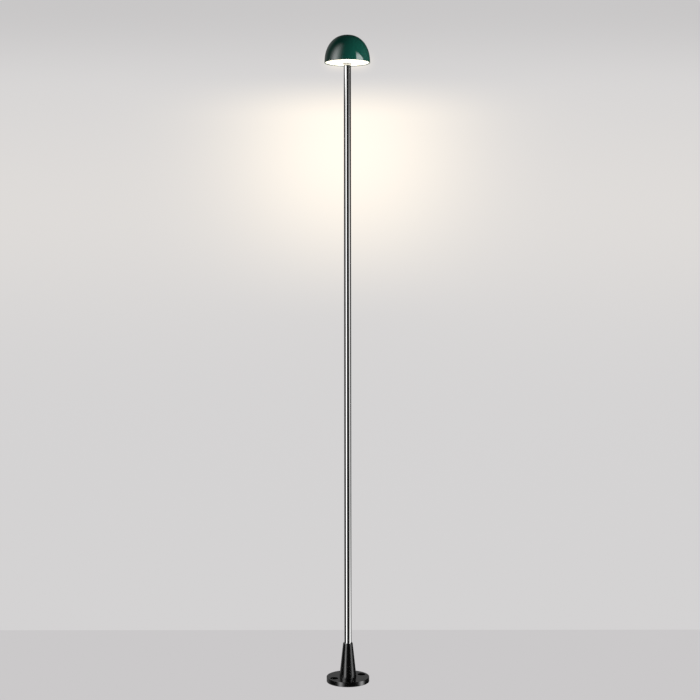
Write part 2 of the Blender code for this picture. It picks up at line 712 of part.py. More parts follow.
def make_grub_screws():
    """Two socket-head grub screws that clamp the pole from behind."""
    for name, down in zip(("grub_screw_upper", "grub_screw_lower"), GRUB_FROM_TOP):
        height = SOCKET_TOP_Z - down
        inner = POLE_R + GAP
        outer = socket_radius(height + GRUB_DIAMETER / 2) - GRUB_RECESS
        radius = GRUB_DIAMETER / 2
        nose = radius / 4
        profile = [(0, inner), (radius - nose, inner), (radius, inner + nose), (radius, outer), (0, outer)]
        place = towards_back(height)
        grub = turned(name, profile, SMALL, "zinc_steel", place)
        key_r = GRUB_HEX / math.sqrt(3)
        low, high = outer - GRUB_HEX_DEPTH, outer + GRUB_HEX_DEPTH
        cut(grub, disc(name + "_key_cutter", key_r, low, high, 6, place=place))


def make_cover():
    """The round cover under the cavity with its gasket and screws."""
    gland_hole = GLAND_THREAD_DIAMETER / 2 + GAP
    cover = ring("base_cover", gland_hole, COVER_R, COVER_Z, COVER_TOP_Z, ROUND, "black_powder_coat")
    gasket_top = COVER_GASKET_Z + COVER_GASKET_THICKNESS
    gasket = ring("cover_gasket", CAVITY_R, COVER_R, COVER_GASKET_Z, gasket_top, ROUND, "black_rubber")
    for number, angle in enumerate(spread(COVER_SCREW_COUNT, COVER_SCREW_START), 1):
        centre = at(COVER_SCREW_R, angle)
        place = Matrix.Translation(centre)
        hole_r = M3_COVER[0] / 2 + GAP
        hole = disc(f"cover_hole_cutter_{number}", hole_r, 0, LEDGE_Z, SMALL, place=place)
        cut(cover, hole)
        cut(gasket, hole)
        head_low = COVER_Z - GAP - M3_COVER[2]
        tip = LEDGE_Z + COVER_SCREW_BITE - GAP
        screw(f"cover_screw_{number}", M3_COVER, head_low, tip, centre, "zinc_steel")


def make_gland():
    """The cable gland in the cover, empty until the light is wired on site."""
    thread_r, bore_r = GLAND_THREAD_DIAMETER / 2, GLAND_BORE_DIAMETER / 2
    seat_r = GLAND_SEAL_DIAMETER / 2 + GAP
    neck_z = GLAND_HEX_Z - GLAND_NECK
    nut_z = COVER_TOP_Z + GAP
    thread_top = nut_z + GLAND_NUT_HEIGHT + GLAND_THREAD_ABOVE_NUT
    seal_z = neck_z + GAP
    seat_z = seal_z + GLAND_SEAL_HEIGHT + GAP
    profile = [
        (seat_r, neck_z),
        (thread_r, neck_z),
        (thread_r, thread_top),
        (bore_r, thread_top),
        (bore_r, seat_z),
        (seat_r, seat_z),
    ]
    body = turned("gland_body", profile, SMALL, "black_nylon")
    filler = hexagon("gland_hex_filler", GLAND_HEX_ACROSS_FLATS, GLAND_HEX_Z, COVER_Z - GAP)
    weld(body, cut(filler, disc("gland_hex_cutter", (seat_r + thread_r) / 2, 0, LEDGE_Z, SMALL)))
    nut = hexagon("gland_lock_nut", GLAND_HEX_ACROSS_FLATS, nut_z, nut_z + GLAND_NUT_HEIGHT, "black_nylon")
    cut(nut, disc("gland_nut_cutter", thread_r + GAP, 0, thread_top, SMALL))
    seal_top = seal_z + GLAND_SEAL_HEIGHT
    seal_r = GLAND_SEAL_DIAMETER / 2
    ring("gland_seal", GLAND_SEAL_BORE / 2, seal_r, seal_z, seal_top, SMALL, "black_rubber")
    cap_r = GLAND_CAP_DIAMETER / 2
    cap_top = GLAND_LIFT + GLAND_CAP_HEIGHT
    inner_floor = GLAND_LIFT + GLAND_CAP_LIP
    profile = [
        (bore_r, GLAND_LIFT),
        (cap_r - GLAND_CAP_LIP, GLAND_LIFT),
        (cap_r, inner_floor),
        (cap_r, cap_top),
        (thread_r + GAP, cap_top),
        (thread_r + GAP, inner_floor),
        (bore_r, inner_floor),
    ]
    turned("gland_cap", profile, SMALL, "black_nylon")


def make_wiring():
    """The terminal block, its screws, and the earth screw with its lug and lead."""
    length, width, height = BLOCK_SIZE
    middle_z = BLOCK_TOP_Z - height / 2
    block = box("terminal_block", BLOCK_SIZE, (0, 0, middle_z), "white_nylon")
    for number in range(BLOCK_SCREW_COUNT):
        y = (number - (BLOCK_SCREW_COUNT - 1) / 2) * BLOCK_SCREW_PITCH
        place = Matrix.Translation((0, y, middle_z)) @ Matrix.Rotation(math.pi / 2, 4, "Y")
        face = length / 2
        low = face - BLOCK_SCREW_LENGTH
        radius = M3[0] / 2
        cutter = disc(f"block_pocket_cutter_{number}", radius + GAP, low - GAP, face * 2, TINY, place=place)
        cut(block, cutter)
        disc(f"terminal_screw_{number + 1}", radius, low, face - GAP, TINY, "brass", place)
    screw_x = EARTH_SCREW_R
    lug_top = CAVITY_ROOF_Z - GAP
    lug_z = lug_top - LUG_THICKNESS
    head_low = lug_z - GAP - M4_EARTH[2]
    tip = CAVITY_ROOF_Z + EARTH_SCREW_DEPTH
    screw("earth_screw", M4_EARTH, head_low, tip, Vector((screw_x, 0, 0)), "brass")
    place = Matrix.Translation((screw_x, 0, 0))
    hole_r = M4_EARTH[0] / 2 + GAP
    lug_r = min(LUG_RADIUS, CAVITY_R - screw_x)
    ring("earth_lug", hole_r, lug_r, lug_z, lug_top, SMALL, "zinc_steel", place)
    lead_r = EARTH_LEAD_DIAMETER / 2
    end_z = CAVITY_ROOF_Z - GAP - lead_r
    end = Vector((screw_x, 0, end_z)) + at(LUG_RADIUS + 2 * GAP, EARTH_LEAD_BEARING)
    block_x, block_y = length / 4, width * EARTH_TERMINAL_SHARE
    corners = [
        (block_x, block_y, BLOCK_TOP_Z + GAP),
        (block_x, block_y, end_z),
        tuple(end),
    ]
    lead("earth_lead", rounded_path(corners, EARTH_LEAD_DIAMETER), EARTH_LEAD_DIAMETER, "earth_green", 2)


def main():
    for obj in list(bpy.data.objects):
        bpy.data.objects.remove(obj, do_unlink=True)
    make_shade()
    make_diffuser()
    make_reflector_pan()
    make_board()
    make_driver()
    make_led_lead()
    make_neck()
    make_pole()
    make_base_casting()
    make_grub_screws()
    make_cover()
    make_gland()
    make_wiring()


main()
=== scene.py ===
"""Looks of a pole light: green dome shade, opal disc, polished pole and a black flanged socket."""

from __future__ import annotations

import logging
import math
from dataclasses import dataclass
from enum import Enum
from typing import Any, Iterable, Sequence

import bmesh
import bpy
from mathutils import Matrix, Vector


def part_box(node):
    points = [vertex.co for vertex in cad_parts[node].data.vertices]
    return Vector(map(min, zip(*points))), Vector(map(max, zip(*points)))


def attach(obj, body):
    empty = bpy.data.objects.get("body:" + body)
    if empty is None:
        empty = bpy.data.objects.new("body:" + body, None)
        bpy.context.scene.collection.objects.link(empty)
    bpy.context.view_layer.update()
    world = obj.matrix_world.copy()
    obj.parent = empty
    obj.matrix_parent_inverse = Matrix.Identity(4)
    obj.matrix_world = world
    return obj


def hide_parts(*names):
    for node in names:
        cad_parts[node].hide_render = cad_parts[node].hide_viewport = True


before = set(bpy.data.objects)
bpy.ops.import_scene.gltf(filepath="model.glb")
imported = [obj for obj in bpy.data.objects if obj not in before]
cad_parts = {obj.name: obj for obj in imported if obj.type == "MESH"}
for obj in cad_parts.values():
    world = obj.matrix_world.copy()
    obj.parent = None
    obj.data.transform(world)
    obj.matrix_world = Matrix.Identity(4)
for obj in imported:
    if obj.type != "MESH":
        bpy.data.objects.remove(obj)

LOG = logging.getLogger("pole_light")
ROOT = "root"
# Air between pieces that touch, in metres.
GAP = 0.0003
# Points closer than this are one point.
MERGE = 1e-6
# Edges sharper than this stay sharp.
CREASE_DEGREES = 32.0
# Where the point beyond a rounding lies, in reaches of the rounding, and the room that it needs.
GUARD_REACH = 1.4
GUARD_ROOM = 3.0
Point = tuple[float, float]


class Slot(Enum):
    """Material slots of the record that the pieces take their finish from."""

    SHADE = "shade_green"
    OPAL = "opal"
    STAINLESS = "polished_stainless"
    POWDER = "black_powder_coat"
    ZINC = "zinc_steel"
    BRASS = "brass"
    PAN = "white_pan"
    BOARD = "board_aluminium"
    PHOSPHOR = "led_phosphor"
    SILICONE = "silicone"
    RUBBER = "black_rubber"
    NYLON = "black_nylon"
    WHITE_NYLON = "white_nylon"
    DRIVER = "driver_plastic"
    EARTH = "earth_green"


class Sketch:
    """A node tree that is drawn node by node."""

    def __init__(self, tree: bpy.types.NodeTree) -> None:
        """Starts drawing in a tree."""
        self.tree = tree

    def node(self, kind: str, inputs: dict[Any, Any] | None = None, **settings: Any) -> bpy.types.Node:
        """Adds a node.

        Args:
            kind: Blender's name of the node type.
            inputs: Values or output sockets for its inputs, by name or number.
            settings: Attributes of the node itself.

        Returns:
            The new node.
        """
        made = self.tree.nodes.new(kind)
        for key, value in settings.items():
            setattr(made, key, value)
        for key, value in (inputs or {}).items():
            if isinstance(value, bpy.types.NodeSocket):
                self.tree.links.new(value, made.inputs[key])
            else:
                made.inputs[key].default_value = value
        return made

    def math(self, operation: str, *values: Any) -> bpy.types.NodeSocket:
        """Adds a Math node and returns its output."""
        return self.node("ShaderNodeMath", dict(enumerate(values)), operation=operation).outputs[0]

    def remap(self, value: Any, low: float, high: float, to_low: float, to_high: float) -> bpy.types.NodeSocket:
        """Adds a smooth Map Range.

        Args:
            value: Value or output socket that is mapped.
            low: Value that gives to_low.
            high: Value that gives to_high.
            to_low: Result at low and below.
            to_high: Result at high and above.

        Returns:
            The node's output.
        """
        inputs = {0: value, 1: low, 2: high, 3: to_low, 4: to_high}
        made = self.node("ShaderNodeMapRange", inputs, interpolation_type="SMOOTHSTEP")
        return made.outputs[0]


@dataclass(frozen=True)
class Grain:
    """A noise pattern on Object coordinates.

    Args:
        scale: Noise scale, in cells to the metre.
        stretch: How the pattern is stretched along X, Y and Z.
        detail: Number of finer octaves.
    """

    scale: float
    stretch: tuple[float, float, float] = (1.0, 1.0, 1.0)
    detail: float = 3.0

    def draw(self, sketch: Sketch) -> bpy.types.NodeSocket:
        """Adds the noise.

        Args:
            sketch: Where the nodes are drawn.

        Returns:
            The output that holds the noise.
        """
        coords = sketch.node("ShaderNodeTexCoord").outputs["Object"]
        mapping = sketch.node("ShaderNodeMapping", {"Vector": coords, "Scale": self.stretch})
        inputs = {"Vector": mapping.outputs[0], "Scale": self.scale, "Detail": self.detail}
        return sketch.node("ShaderNodeTexNoise", inputs).outputs[0]


@dataclass(frozen=True)
class Finish:
    """A surface finish with a mottled colour, an uneven polish and a fine relief.

    Args:
        name: Name of the material.
        slot: Record slot that the finish belongs to; not used.
        color: Linear colour.
        tone: The colour that the mottling goes to.
        roughness: Lowest and highest roughness.
        metallic: 1 for bare metal.
        mottle: Pattern of the colour and the polish.
        relief: Pattern of the relief, or None.
        relief_height: Height of the relief in metres.
        relief_strength: Strength of the relief.
        sockets: Other values of the shader, by socket name.
    """

    name: str
    slot: Slot
    color: tuple[float, float, float]
    tone: tuple[float, float, float]
    roughness: tuple[float, float]
    metallic: float = 0.0
    mottle: Grain = Grain(60.0)
    relief: Grain | None = None
    relief_height: float = 0.00005
    relief_strength: float = 0.3
    sockets: tuple[tuple[str, Any], ...] = ()

    def material(self) -> bpy.types.Material:
        """Gives the material, and makes it the first time it is asked for.

        Returns:
            The material.
        """
        found = bpy.data.materials.get(self.name)
        if found:
            return found
        made = bpy.data.materials.new(self.name)
        made.use_nodes = True
        sketch = Sketch(made.node_tree)
        shader = made.node_tree.nodes["Principled BSDF"]
        shader.inputs["Metallic"].default_value = self.metallic
        for socket, value in self.sockets:
            shader.inputs[socket].default_value = value
        pattern = self.mottle.draw(sketch)
        spread = sketch.remap(pattern, 0.3, 0.7, 0.0, 1.0)
        mix = sketch.node("ShaderNodeMix", {0: spread}, data_type="RGBA")
        mix.inputs[6].default_value = (*self.color, 1.0)
        mix.inputs[7].default_value = (*self.tone, 1.0)
        made.node_tree.links.new(mix.outputs[2], shader.inputs["Base Color"])
        polish = sketch.remap(pattern, 0.25, 0.75, *self.roughness)
        made.node_tree.links.new(polish, shader.inputs["Roughness"])
        if self.relief:
            height = self.relief.draw(sketch)
            inputs = {"Strength": self.relief_strength, "Distance": self.relief_height, "Height": height}
            bump = sketch.node("ShaderNodeBump", inputs)
            made.node_tree.links.new(bump.outputs[0], shader.inputs["Normal"])
        return made


ENAMEL = Finish(
    "green_enamel",
    Slot.SHADE,
    color=(0.006, 0.064, 0.046),
    tone=(0.005, 0.056, 0.041),
    roughness=(0.30, 0.40),
    mottle=Grain(24.0),
    relief=Grain(900.0, detail=1.0),
    relief_height=0.00001,
    relief_strength=0.04,
    sockets=(("Specular IOR Level", 0.0), ("Coat Weight", 1.0), ("Coat Roughness", 0.05), ("Coat IOR", 1.5)),
)
OPAL = Finish(
    "lit_opal",
    Slot.OPAL,
    color=(0.92, 0.90, 0.84),
    tone=(0.90, 0.87, 0.79),
    roughness=(0.42, 0.55),
    mottle=Grain(30.0),
    relief=Grain(1200.0, detail=1.0),
    relief_height=0.00001,
    relief_strength=0.1,
    sockets=(("Emission Color", (1.0, 0.90, 0.68, 1.0)), ("Emission Strength", 1.36)),
)
STAINLESS = Finish(
    "mirror_polished_steel",
    Slot.STAINLESS,
    color=(0.63, 0.63, 0.62),
    tone=(0.60, 0.60, 0.60),
    roughness=(0.045, 0.07),
    metallic=1.0,
    mottle=Grain(420.0, stretch=(1.0, 1.0, 0.02)),
    relief=Grain(2600.0, stretch=(1.0, 1.0, 0.012), detail=2.0),
    relief_height=0.000002,
    relief_strength=0.05,
)
POWDER = Finish(
    "fine_gloss_powder_coat",
    Slot.POWDER,
    color=(0.0045, 0.0045, 0.0046),
    tone=(0.0036, 0.0036, 0.0037),
    roughness=(0.14, 0.19),
    mottle=Grain(45.0),
    relief=Grain(900.0, detail=2.0),
    relief_height=0.00002,
    relief_strength=0.05,
    sockets=(("Specular IOR Level", 0.9),),
)
ZINC = Finish(
    "zinc_plated_steel",
    Slot.ZINC,
    color=(0.58, 0.59, 0.61),
    tone=(0.50, 0.50, 0.49),
    roughness=(0.26, 0.42),
    metallic=1.0,
    mottle=Grain(300.0),
    relief=Grain(2500.0),
    relief_height=0.00001,
    relief_strength=0.15,
)
BRASS = Finish(
    "bare_brass",
    Slot.BRASS,
    color=(0.72, 0.50, 0.20),
    tone=(0.60, 0.40, 0.16),
    roughness=(0.22, 0.38),
    metallic=1.0,
    mottle=Grain(350.0),
)
WHITE_PAINT = Finish(
    "white_pan_paint",
    Slot.PAN,
    color=(0.84, 0.84, 0.81),
    tone=(0.80, 0.80, 0.77),
    roughness=(0.42, 0.55),
    mottle=Grain(40.0),
    relief=Grain(1500.0),
    relief_height=0.00002,
    relief_strength=0.15,
)
BOARD = Finish(
    "white_masked_board",
    Slot.BOARD,
    color=(0.80, 0.81, 0.80),
    tone=(0.74, 0.75, 0.74),
    roughness=(0.34, 0.46),
    mottle=Grain(120.0),
    relief=Grain(2500.0),
    relief_height=0.00001,
    relief_strength=0.1,
)
PHOSPHOR = Finish(
    "chip_phosphor",
    Slot.PHOSPHOR,
    color=(0.92, 0.70, 0.22),
    tone=(0.86, 0.62, 0.18),
    roughness=(0.45, 0.6),
    mottle=Grain(1500.0),
    sockets=(("Emission Color", (1.0, 0.86, 0.62, 1.0)), ("Emission Strength", 2.0)),
)
SILICONE = Finish(
    "milky_silicone",
    Slot.SILICONE,
    color=(0.72, 0.72, 0.70),
    tone=(0.66, 0.66, 0.64),
    roughness=(0.5, 0.65),
    mottle=Grain(200.0),
    sockets=(("Subsurface Weight", 0.15), ("Subsurface Scale", 0.002)),
)
RUBBER = Finish(
    "cable_rubber",
    Slot.RUBBER,
    color=(0.016, 0.016, 0.016),
    tone=(0.024, 0.023, 0.022),
    roughness=(0.55, 0.72),
    mottle=Grain(180.0),
    relief=Grain(2200.0),
    relief_height=0.00002,
    relief_strength=0.25,
)
NYLON = Finish(
    "moulded_black_nylon",
    Slot.NYLON,
    color=(0.020, 0.020, 0.021),
    tone=(0.028, 0.028, 0.029),
    roughness=(0.42, 0.55),
    mottle=Grain(250.0),
    relief=Grain(3000.0),
    relief_height=0.00001,
    relief_strength=0.3,
)
WHITE_NYLON = Finish(
    "moulded_white_nylon",
    Slot.WHITE_NYLON,
    color=(0.80, 0.80, 0.77),
    tone=(0.74, 0.74, 0.71),
    roughness=(0.38, 0.5),
    mottle=Grain(200.0),
)
DRIVER = Finish(
    "grey_driver_case",
    Slot.DRIVER,
    color=(0.28, 0.29, 0.30),
    tone=(0.24, 0.25, 0.26),
    roughness=(0.45, 0.58),
    mottle=Grain(120.0),
    relief=Grain(2500.0),
    relief_height=0.00002,
    relief_strength=0.3,
)
EARTH = Finish(
    "green_lead_sheath",
    Slot.EARTH,
    color=(0.08, 0.32, 0.06),
    tone=(0.55, 0.50, 0.04),
    roughness=(0.4, 0.55),
    mottle=Grain(120.0, stretch=(1.0, 4.0, 1.0), detail=0.0),
)

# CAD nodes that keep their shape, and the finish that each gets.
CARRIED_OVER: dict[Finish, tuple[str, ...]] = {
    ZINC: ("driver_screw_1", "driver_screw_2", "threaded_tube", "pole_top_bush", "spacer_sleeve", "pan_washer",
           "pan_lock_nut", "earth_lug"),
    BRASS: ("terminal_screw_1", "terminal_screw_2", "terminal_screw_3", "earth_screw"),
    RUBBER: ("pole_cable", "led_lead", "pan_grommet", "neck_o_ring", "cover_gasket"),
    NYLON: ("gland_lock_nut", "pole_foot_bush"),
    WHITE_NYLON: ("terminal_block", "board_connector"),
    DRIVER: ("led_driver",),
    EARTH: ("earth_lead",),
    WHITE_PAINT: ("reflector_pan",),
    BOARD: ("led_board",),
    SILICONE: ("diffuser_gasket",),
}


class GroupTree:
    """Base of the Geometry Nodes trees that make pieces."""

    title = "piece"

    def __init__(self) -> None:
        """Makes the tree with its first input and its output."""
        self.tree = bpy.data.node_groups.new(self.title, "GeometryNodeTree")
        self.sketch = Sketch(self.tree)
        self.tree.interface.new_socket(name="Geometry", in_out="INPUT", socket_type="NodeSocketGeometry")
        self.tree.interface.new_socket(name="Geometry", in_out="OUTPUT", socket_type="NodeSocketGeometry")

    def add_input(self, name: str, kind: str) -> None:
        """Adds a named input of a kind such as Int, Float, Vector or Material."""
        self.tree.interface.new_socket(name=name, in_out="INPUT", socket_type="NodeSocket" + kind)

    def end(self, geometry: bpy.types.NodeSocket, material: bpy.types.NodeSocket) -> None:
        """Ends the tree in Realize Instances and Set Material.

        Args:
            geometry: The finished geometry.
            material: The material that it gets.
        """
        real = self.sketch.node("GeometryNodeRealizeInstances", {"Geometry": geometry})
        inputs = {"Geometry": real.outputs[0], "Material": material}
        painted = self.sketch.node("GeometryNodeSetMaterial", inputs)
        self.sketch.node("NodeGroupOutput", {0: painted.outputs[0]})

    def run(self, name: str, source: bpy.types.Mesh, values: dict[str, Any]) -> bpy.types.Object:
        """Runs the tree on a mesh.

        Args:
            name: Name of the piece.
            source: Mesh that goes in.
            values: The inputs by name.

        Returns:
            The piece as a plain mesh object, with no modifier.
        """
        carrier = bpy.data.objects.new(name + "_source", source)
        bpy.context.scene.collection.objects.link(carrier)
        modifier = carrier.modifiers.new(self.title, "NODES")
        modifier.node_group = self.tree
        for item in self.tree.interface.items_tree:
            if item.in_out == "INPUT" and item.name in values:
                modifier[item.identifier] = values[item.name]
        graph = bpy.context.evaluated_depsgraph_get()
        mesh = bpy.data.meshes.new_from_object(carrier.evaluated_get(graph))
        mesh.name = name
        bpy.data.objects.remove(carrier)
        piece = bpy.data.objects.new(name, mesh)
        bpy.context.scene.collection.objects.link(piece)
        return piece


class TurningTree(GroupTree):
    """Turns an outline round the Z axis: the input mesh holds the outline's points at (radius, 0, height)."""

    title = "turn_outline"

    def __init__(self) -> None:
        """Draws the tree: a grid whose columns go round the axis and whose rows follow the outline."""
        super().__init__()
        self.add_input("Facets", "Int")
        self.add_input("Material", "Material")
        sketch = self.sketch
        given = sketch.node("NodeGroupInput")
        outline = given.outputs["Geometry"]
        count = sketch.node("GeometryNodeAttributeDomainSize", {0: outline}, component="MESH").outputs[0]
        columns = sketch.math("ADD", given.outputs["Facets"], 1)
        rows = sketch.math("ADD", count, 1)
        sides = {"Size X": 1.0, "Size Y": 1.0, "Vertices X": columns, "Vertices Y": rows}
        grid = sketch.node("GeometryNodeMeshGrid", sides)
        place = sketch.node("GeometryNodeInputPosition")
        split = sketch.node("ShaderNodeSeparateXYZ", {0: place.outputs[0]})
        turn = sketch.math("MULTIPLY", sketch.math("ADD", split.outputs[0], 0.5), math.tau)
        row = sketch.math("MULTIPLY", sketch.math("ADD", split.outputs[1], 0.5), count)
        index = sketch.math("MODULO", sketch.math("ROUND", row), count)
        sample = sketch.node("GeometryNodeSampleIndex", {0: outline}, data_type="FLOAT_VECTOR", domain="POINT")
        self.tree.links.new(place.outputs[0], sample.inputs[1])
        self.tree.links.new(index, sample.inputs[2])
        point = sketch.node("ShaderNodeSeparateXYZ", {0: sample.outputs[0]})
        across = sketch.math("MULTIPLY", point.outputs[0], sketch.math("COSINE", turn))
        along = sketch.math("MULTIPLY", point.outputs[0], sketch.math("SINE", turn))
        spot = sketch.node("ShaderNodeCombineXYZ", {0: across, 1: along, 2: point.outputs[2]})
        moved = sketch.node("GeometryNodeSetPosition", {"Geometry": grid.outputs[0], "Position": spot.outputs[0]})
        merged = sketch.node("GeometryNodeMergeByDistance", {"Geometry": moved.outputs[0], "Distance": MERGE})
        self.end(merged.outputs[0], given.outputs["Material"])


class CircleTree(GroupTree):
    """Sets copies of the input mesh on a circle, each turned to face outwards."""

    title = "set_on_circle"

    def __init__(self) -> None:
        """Draws the tree: points of a circle, one copy on each, then the whole circle put in place."""
        super().__init__()
        self.add_input("Count", "Int")
        self.add_input("Radius", "Float")
        self.add_input("Start", "Float")
        self.add_input("Centre", "Vector")
        self.add_input("Material", "Material")
        sketch = self.sketch
        given = sketch.node("NodeGroupInput")
        sides = {"Vertices": given.outputs["Count"], "Radius": given.outputs["Radius"]}
        circle = sketch.node("GeometryNodeMeshCircle", sides)
        step = sketch.math("DIVIDE", math.tau, given.outputs["Count"])
        turn = sketch.math("MULTIPLY", sketch.node("GeometryNodeInputIndex").outputs[0], step)
        facing = sketch.node("ShaderNodeCombineXYZ", {2: turn})
        inputs = {
            "Points": circle.outputs[0],
            "Instance": given.outputs["Geometry"],
            "Rotation": facing.outputs[0],
        }
        copies = sketch.node("GeometryNodeInstanceOnPoints", inputs)
        start = sketch.node("ShaderNodeCombineXYZ", {2: given.outputs["Start"]})
        inputs = {
            "Geometry": copies.outputs[0],
            "Translation": given.outputs["Centre"],
            "Rotation": start.outputs[0],
        }
        placed = sketch.node("GeometryNodeTransform", inputs)
        self.end(placed.outputs[0], given.outputs["Material"])


class Outline:
    """A closed outline of (radius, height) corners, each of which can be rounded."""

    def __init__(self) -> None:
        """Starts an empty outline."""
        self.corners: list[tuple[Vector, float, int]] = []

    def to(self, radius: float, height: float, rounding: float = 0.0, steps: int = 4) -> Outline:
        """Adds a corner.

        Args:
            radius: Distance from the axis.
            height: Height on the axis.
            rounding: Radius of the arc that rounds the corner.
            steps: Number of facets in that arc.

        Returns:
            The outline itself, so that corners can follow one another.
        """
        self.corners.append((Vector((radius, height)), rounding, steps))
        return self

    def vault(self, floor: float, span: Point, power: float, start: float, end: float, steps: int) -> Outline:
        """Adds points along a quarter of a superellipse.

        Args:
            floor: Height of its foot.
            span: Its radius at the foot and its rise.
            power: 2 for an ellipse, more for a fuller shoulder.
            start: Angle of the first point in degrees, 0 at the foot and 90 at the crown.
            end: Angle of the last point.
            steps: Number of facets.

        Returns:
            The outline itself.
        """
        for step in range(steps + 1):
            angle = math.radians(start + (end - start) * step / steps)
            across = max(math.cos(angle), 0.0) ** (2 / power)
            rise = max(math.sin(angle), 0.0) ** (2 / power)
            self.to(span[0] * across, floor + span[1] * rise)
        return self

    def points(self) -> list[Point]:
        """Gives the outline's points, with its corners rounded.

        A long straight run gets a point just beyond each rounding, so that the shading of the
        rounding doesn't spread along the run.

        Returns:
            The points as (radius, height).
        """
        found: list[Point] = []
        total = len(self.corners)
        for place, (corner, rounding, steps) in enumerate(self.corners):
            if not rounding:
                found.append((corner.x, corner.y))
                continue
            before = self.corners[place - 1][0] - corner
            after = self.corners[(place + 1) % total][0] - corner
            back, on = before.normalized(), after.normalized()
            half = back.angle(on) / 2
            centre = corner + (back + on).normalized() * rounding / math.sin(half)
            reach = rounding / math.tan(half)
            guard = reach * GUARD_REACH
            if before.length > guard * GUARD_ROOM:
                found.append(tuple(corner + back * guard))
            first, last = corner + back * reach - centre, corner + on * reach - centre
            turn = first.angle_signed(last)
            for step in range(steps + 1):
                spoke = first.copy()
                spoke.rotate(Matrix.Rotation(-turn * step / steps, 2))
                found.append((centre.x + spoke.x, centre.y + spoke.y))
            if after.length > guard * GUARD_ROOM:
                found.append(tuple(corner + on * guard))
        return found


class Workshop:
    """Makes pieces from outlines, blocks and cutters, and hands them over to the frame."""

    def __init__(self) -> None:
        """Draws the two trees that the pieces share."""
        self.turning = TurningTree()
        self.circle = CircleTree()

    def tidy(self, piece: bpy.types.Object) -> bpy.types.Object:
        """Closes a mesh, points its faces outwards and shades it smooth up to the crease angle.

        Args:
            piece: The piece.

        Returns:
            The same piece.
        """
        bm = bmesh.new()
        bm.from_mesh(piece.data)
        bmesh.ops.remove_doubles(bm, verts=bm.verts, dist=MERGE)
        bmesh.ops.dissolve_degenerate(bm, edges=bm.edges, dist=MERGE / 10)
        bmesh.ops.recalc_face_normals(bm, faces=bm.faces)
        bm.to_mesh(piece.data)
        bm.free()
        return self.shade(piece)

    def shade(self, piece: bpy.types.Object) -> bpy.types.Object:
        """Shades a piece smooth, with its sharper edges kept sharp.

        Args:
            piece: The piece.

        Returns:
            The same piece.
        """
        piece.data.shade_smooth()
        piece.data.set_sharp_from_angle(angle=math.radians(CREASE_DEGREES))
        return piece

    def turn(self, name: str, outline: Outline, facets: int, finish: Finish | None = None) -> bpy.types.Object:
        """Turns an outline into a solid.

        Args:
            name: Name of the piece.
            outline: Its closed outline.
            facets: Number of facets round the axis.
            finish: Its finish, or None for a cutter.

        Returns:
            The piece.
        """
        source = bpy.data.meshes.new(name + "_outline")
        source.from_pydata([(radius, 0.0, height) for radius, height in outline.points()], [], [])
        material = (finish or ZINC).material()
        piece = self.turning.run(name, source, {"Facets": facets, "Material": material})
        return self.tidy(piece)

    def set_round(
        self,
        name: str,
        source: bpy.types.Object,
        count: int,
        radius: float,
        start: float,
        centre: Sequence[float],
        finish: Finish,
    ) -> bpy.types.Object:
        """Sets copies of a piece on a circle and removes the piece they were made from.

        Args:
            name: Name of the group.
            source: The piece to copy, modelled at the origin.
            count: Number of copies.
            radius: Radius of the circle.
            start: Angle of the first copy, in degrees.
            centre: Centre of the circle.
            finish: Finish of the copies.

        Returns:
            The group as one plain mesh.
        """
        values = {
            "Count": count,
            "Radius": radius,
            "Start": math.radians(start),
            "Centre": tuple(centre),
            "Material": finish.material(),
        }
        piece = self.circle.run(name, source.data.copy(), values)
        bpy.data.objects.remove(source)
        return self.shade(piece)

    def block(self, name: str, size: Sequence[float], bevel: float = 0.0, turn: float = 0.0) -> bpy.types.Object:
        """Makes a box round the origin.

        Args:
            name: Name of the piece.
            size: Its size along X, Y and Z.
            bevel: Rounding of its edges.
            turn: Its turn about Z, in degrees.

        Returns:
            The piece.
        """
        bm = bmesh.new()
        bmesh.ops.create_cube(bm, size=1.0)
        bmesh.ops.scale(bm, vec=size, verts=bm.verts)
        if bevel:
            bmesh.ops.bevel(bm, geom=bm.edges, offset=bevel, segments=3, profile=0.5, affect="EDGES")
        bmesh.ops.transform(bm, matrix=Matrix.Rotation(math.radians(turn), 4, "Z"), verts=bm.verts)
        mesh = bpy.data.meshes.new(name)
        bm.to_mesh(mesh)
        bm.free()
        piece = bpy.data.objects.new(name, mesh)
        bpy.context.scene.collection.objects.link(piece)
        return piece

    def combine(self, piece: bpy.types.Object, tool: bpy.types.Object, operation: str) -> bpy.types.Object:
        """Applies an exact Boolean and removes the tool.

        Args:
            piece: The piece that is changed.
            tool: The piece that it is joined with or cut by.
            operation: "DIFFERENCE" or "UNION".

        Returns:
            The changed piece.
        """
        modifier = piece.modifiers.new(operation, "BOOLEAN")
        modifier.object = tool
        modifier.operation = operation
        modifier.solver = "EXACT"
        graph = bpy.context.evaluated_depsgraph_get()
        mesh = bpy.data.meshes.new_from_object(piece.evaluated_get(graph))
        piece.modifiers.clear()
        piece.data = mesh
        bpy.data.objects.remove(tool)
        return self.tidy(piece)

    def move(self, piece: bpy.types.Object, place: Matrix) -> bpy.types.Object:
        """Applies a placement to a piece's mesh."""
        piece.data.transform(place)
        return piece

    def hand_over(self, piece: bpy.types.Object, finish: Finish, nodes: Iterable[str] = ()) -> None:
        """Dresses a piece, lets it ride on the body and stand for its CAD nodes.

        Args:
            piece: The finished piece.
            finish: Its finish.
            nodes: CAD nodes that it replaces.
        """
        piece.data.materials.clear()
        piece.data.materials.append(finish.material())
        for polygon in piece.data.polygons:
            polygon.material_index = 0
        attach(piece, ROOT)
        for node in nodes:
            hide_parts(node)
        LOG.info("%s: %d faces, %s", piece.name, len(piece.data.polygons), finish.name)


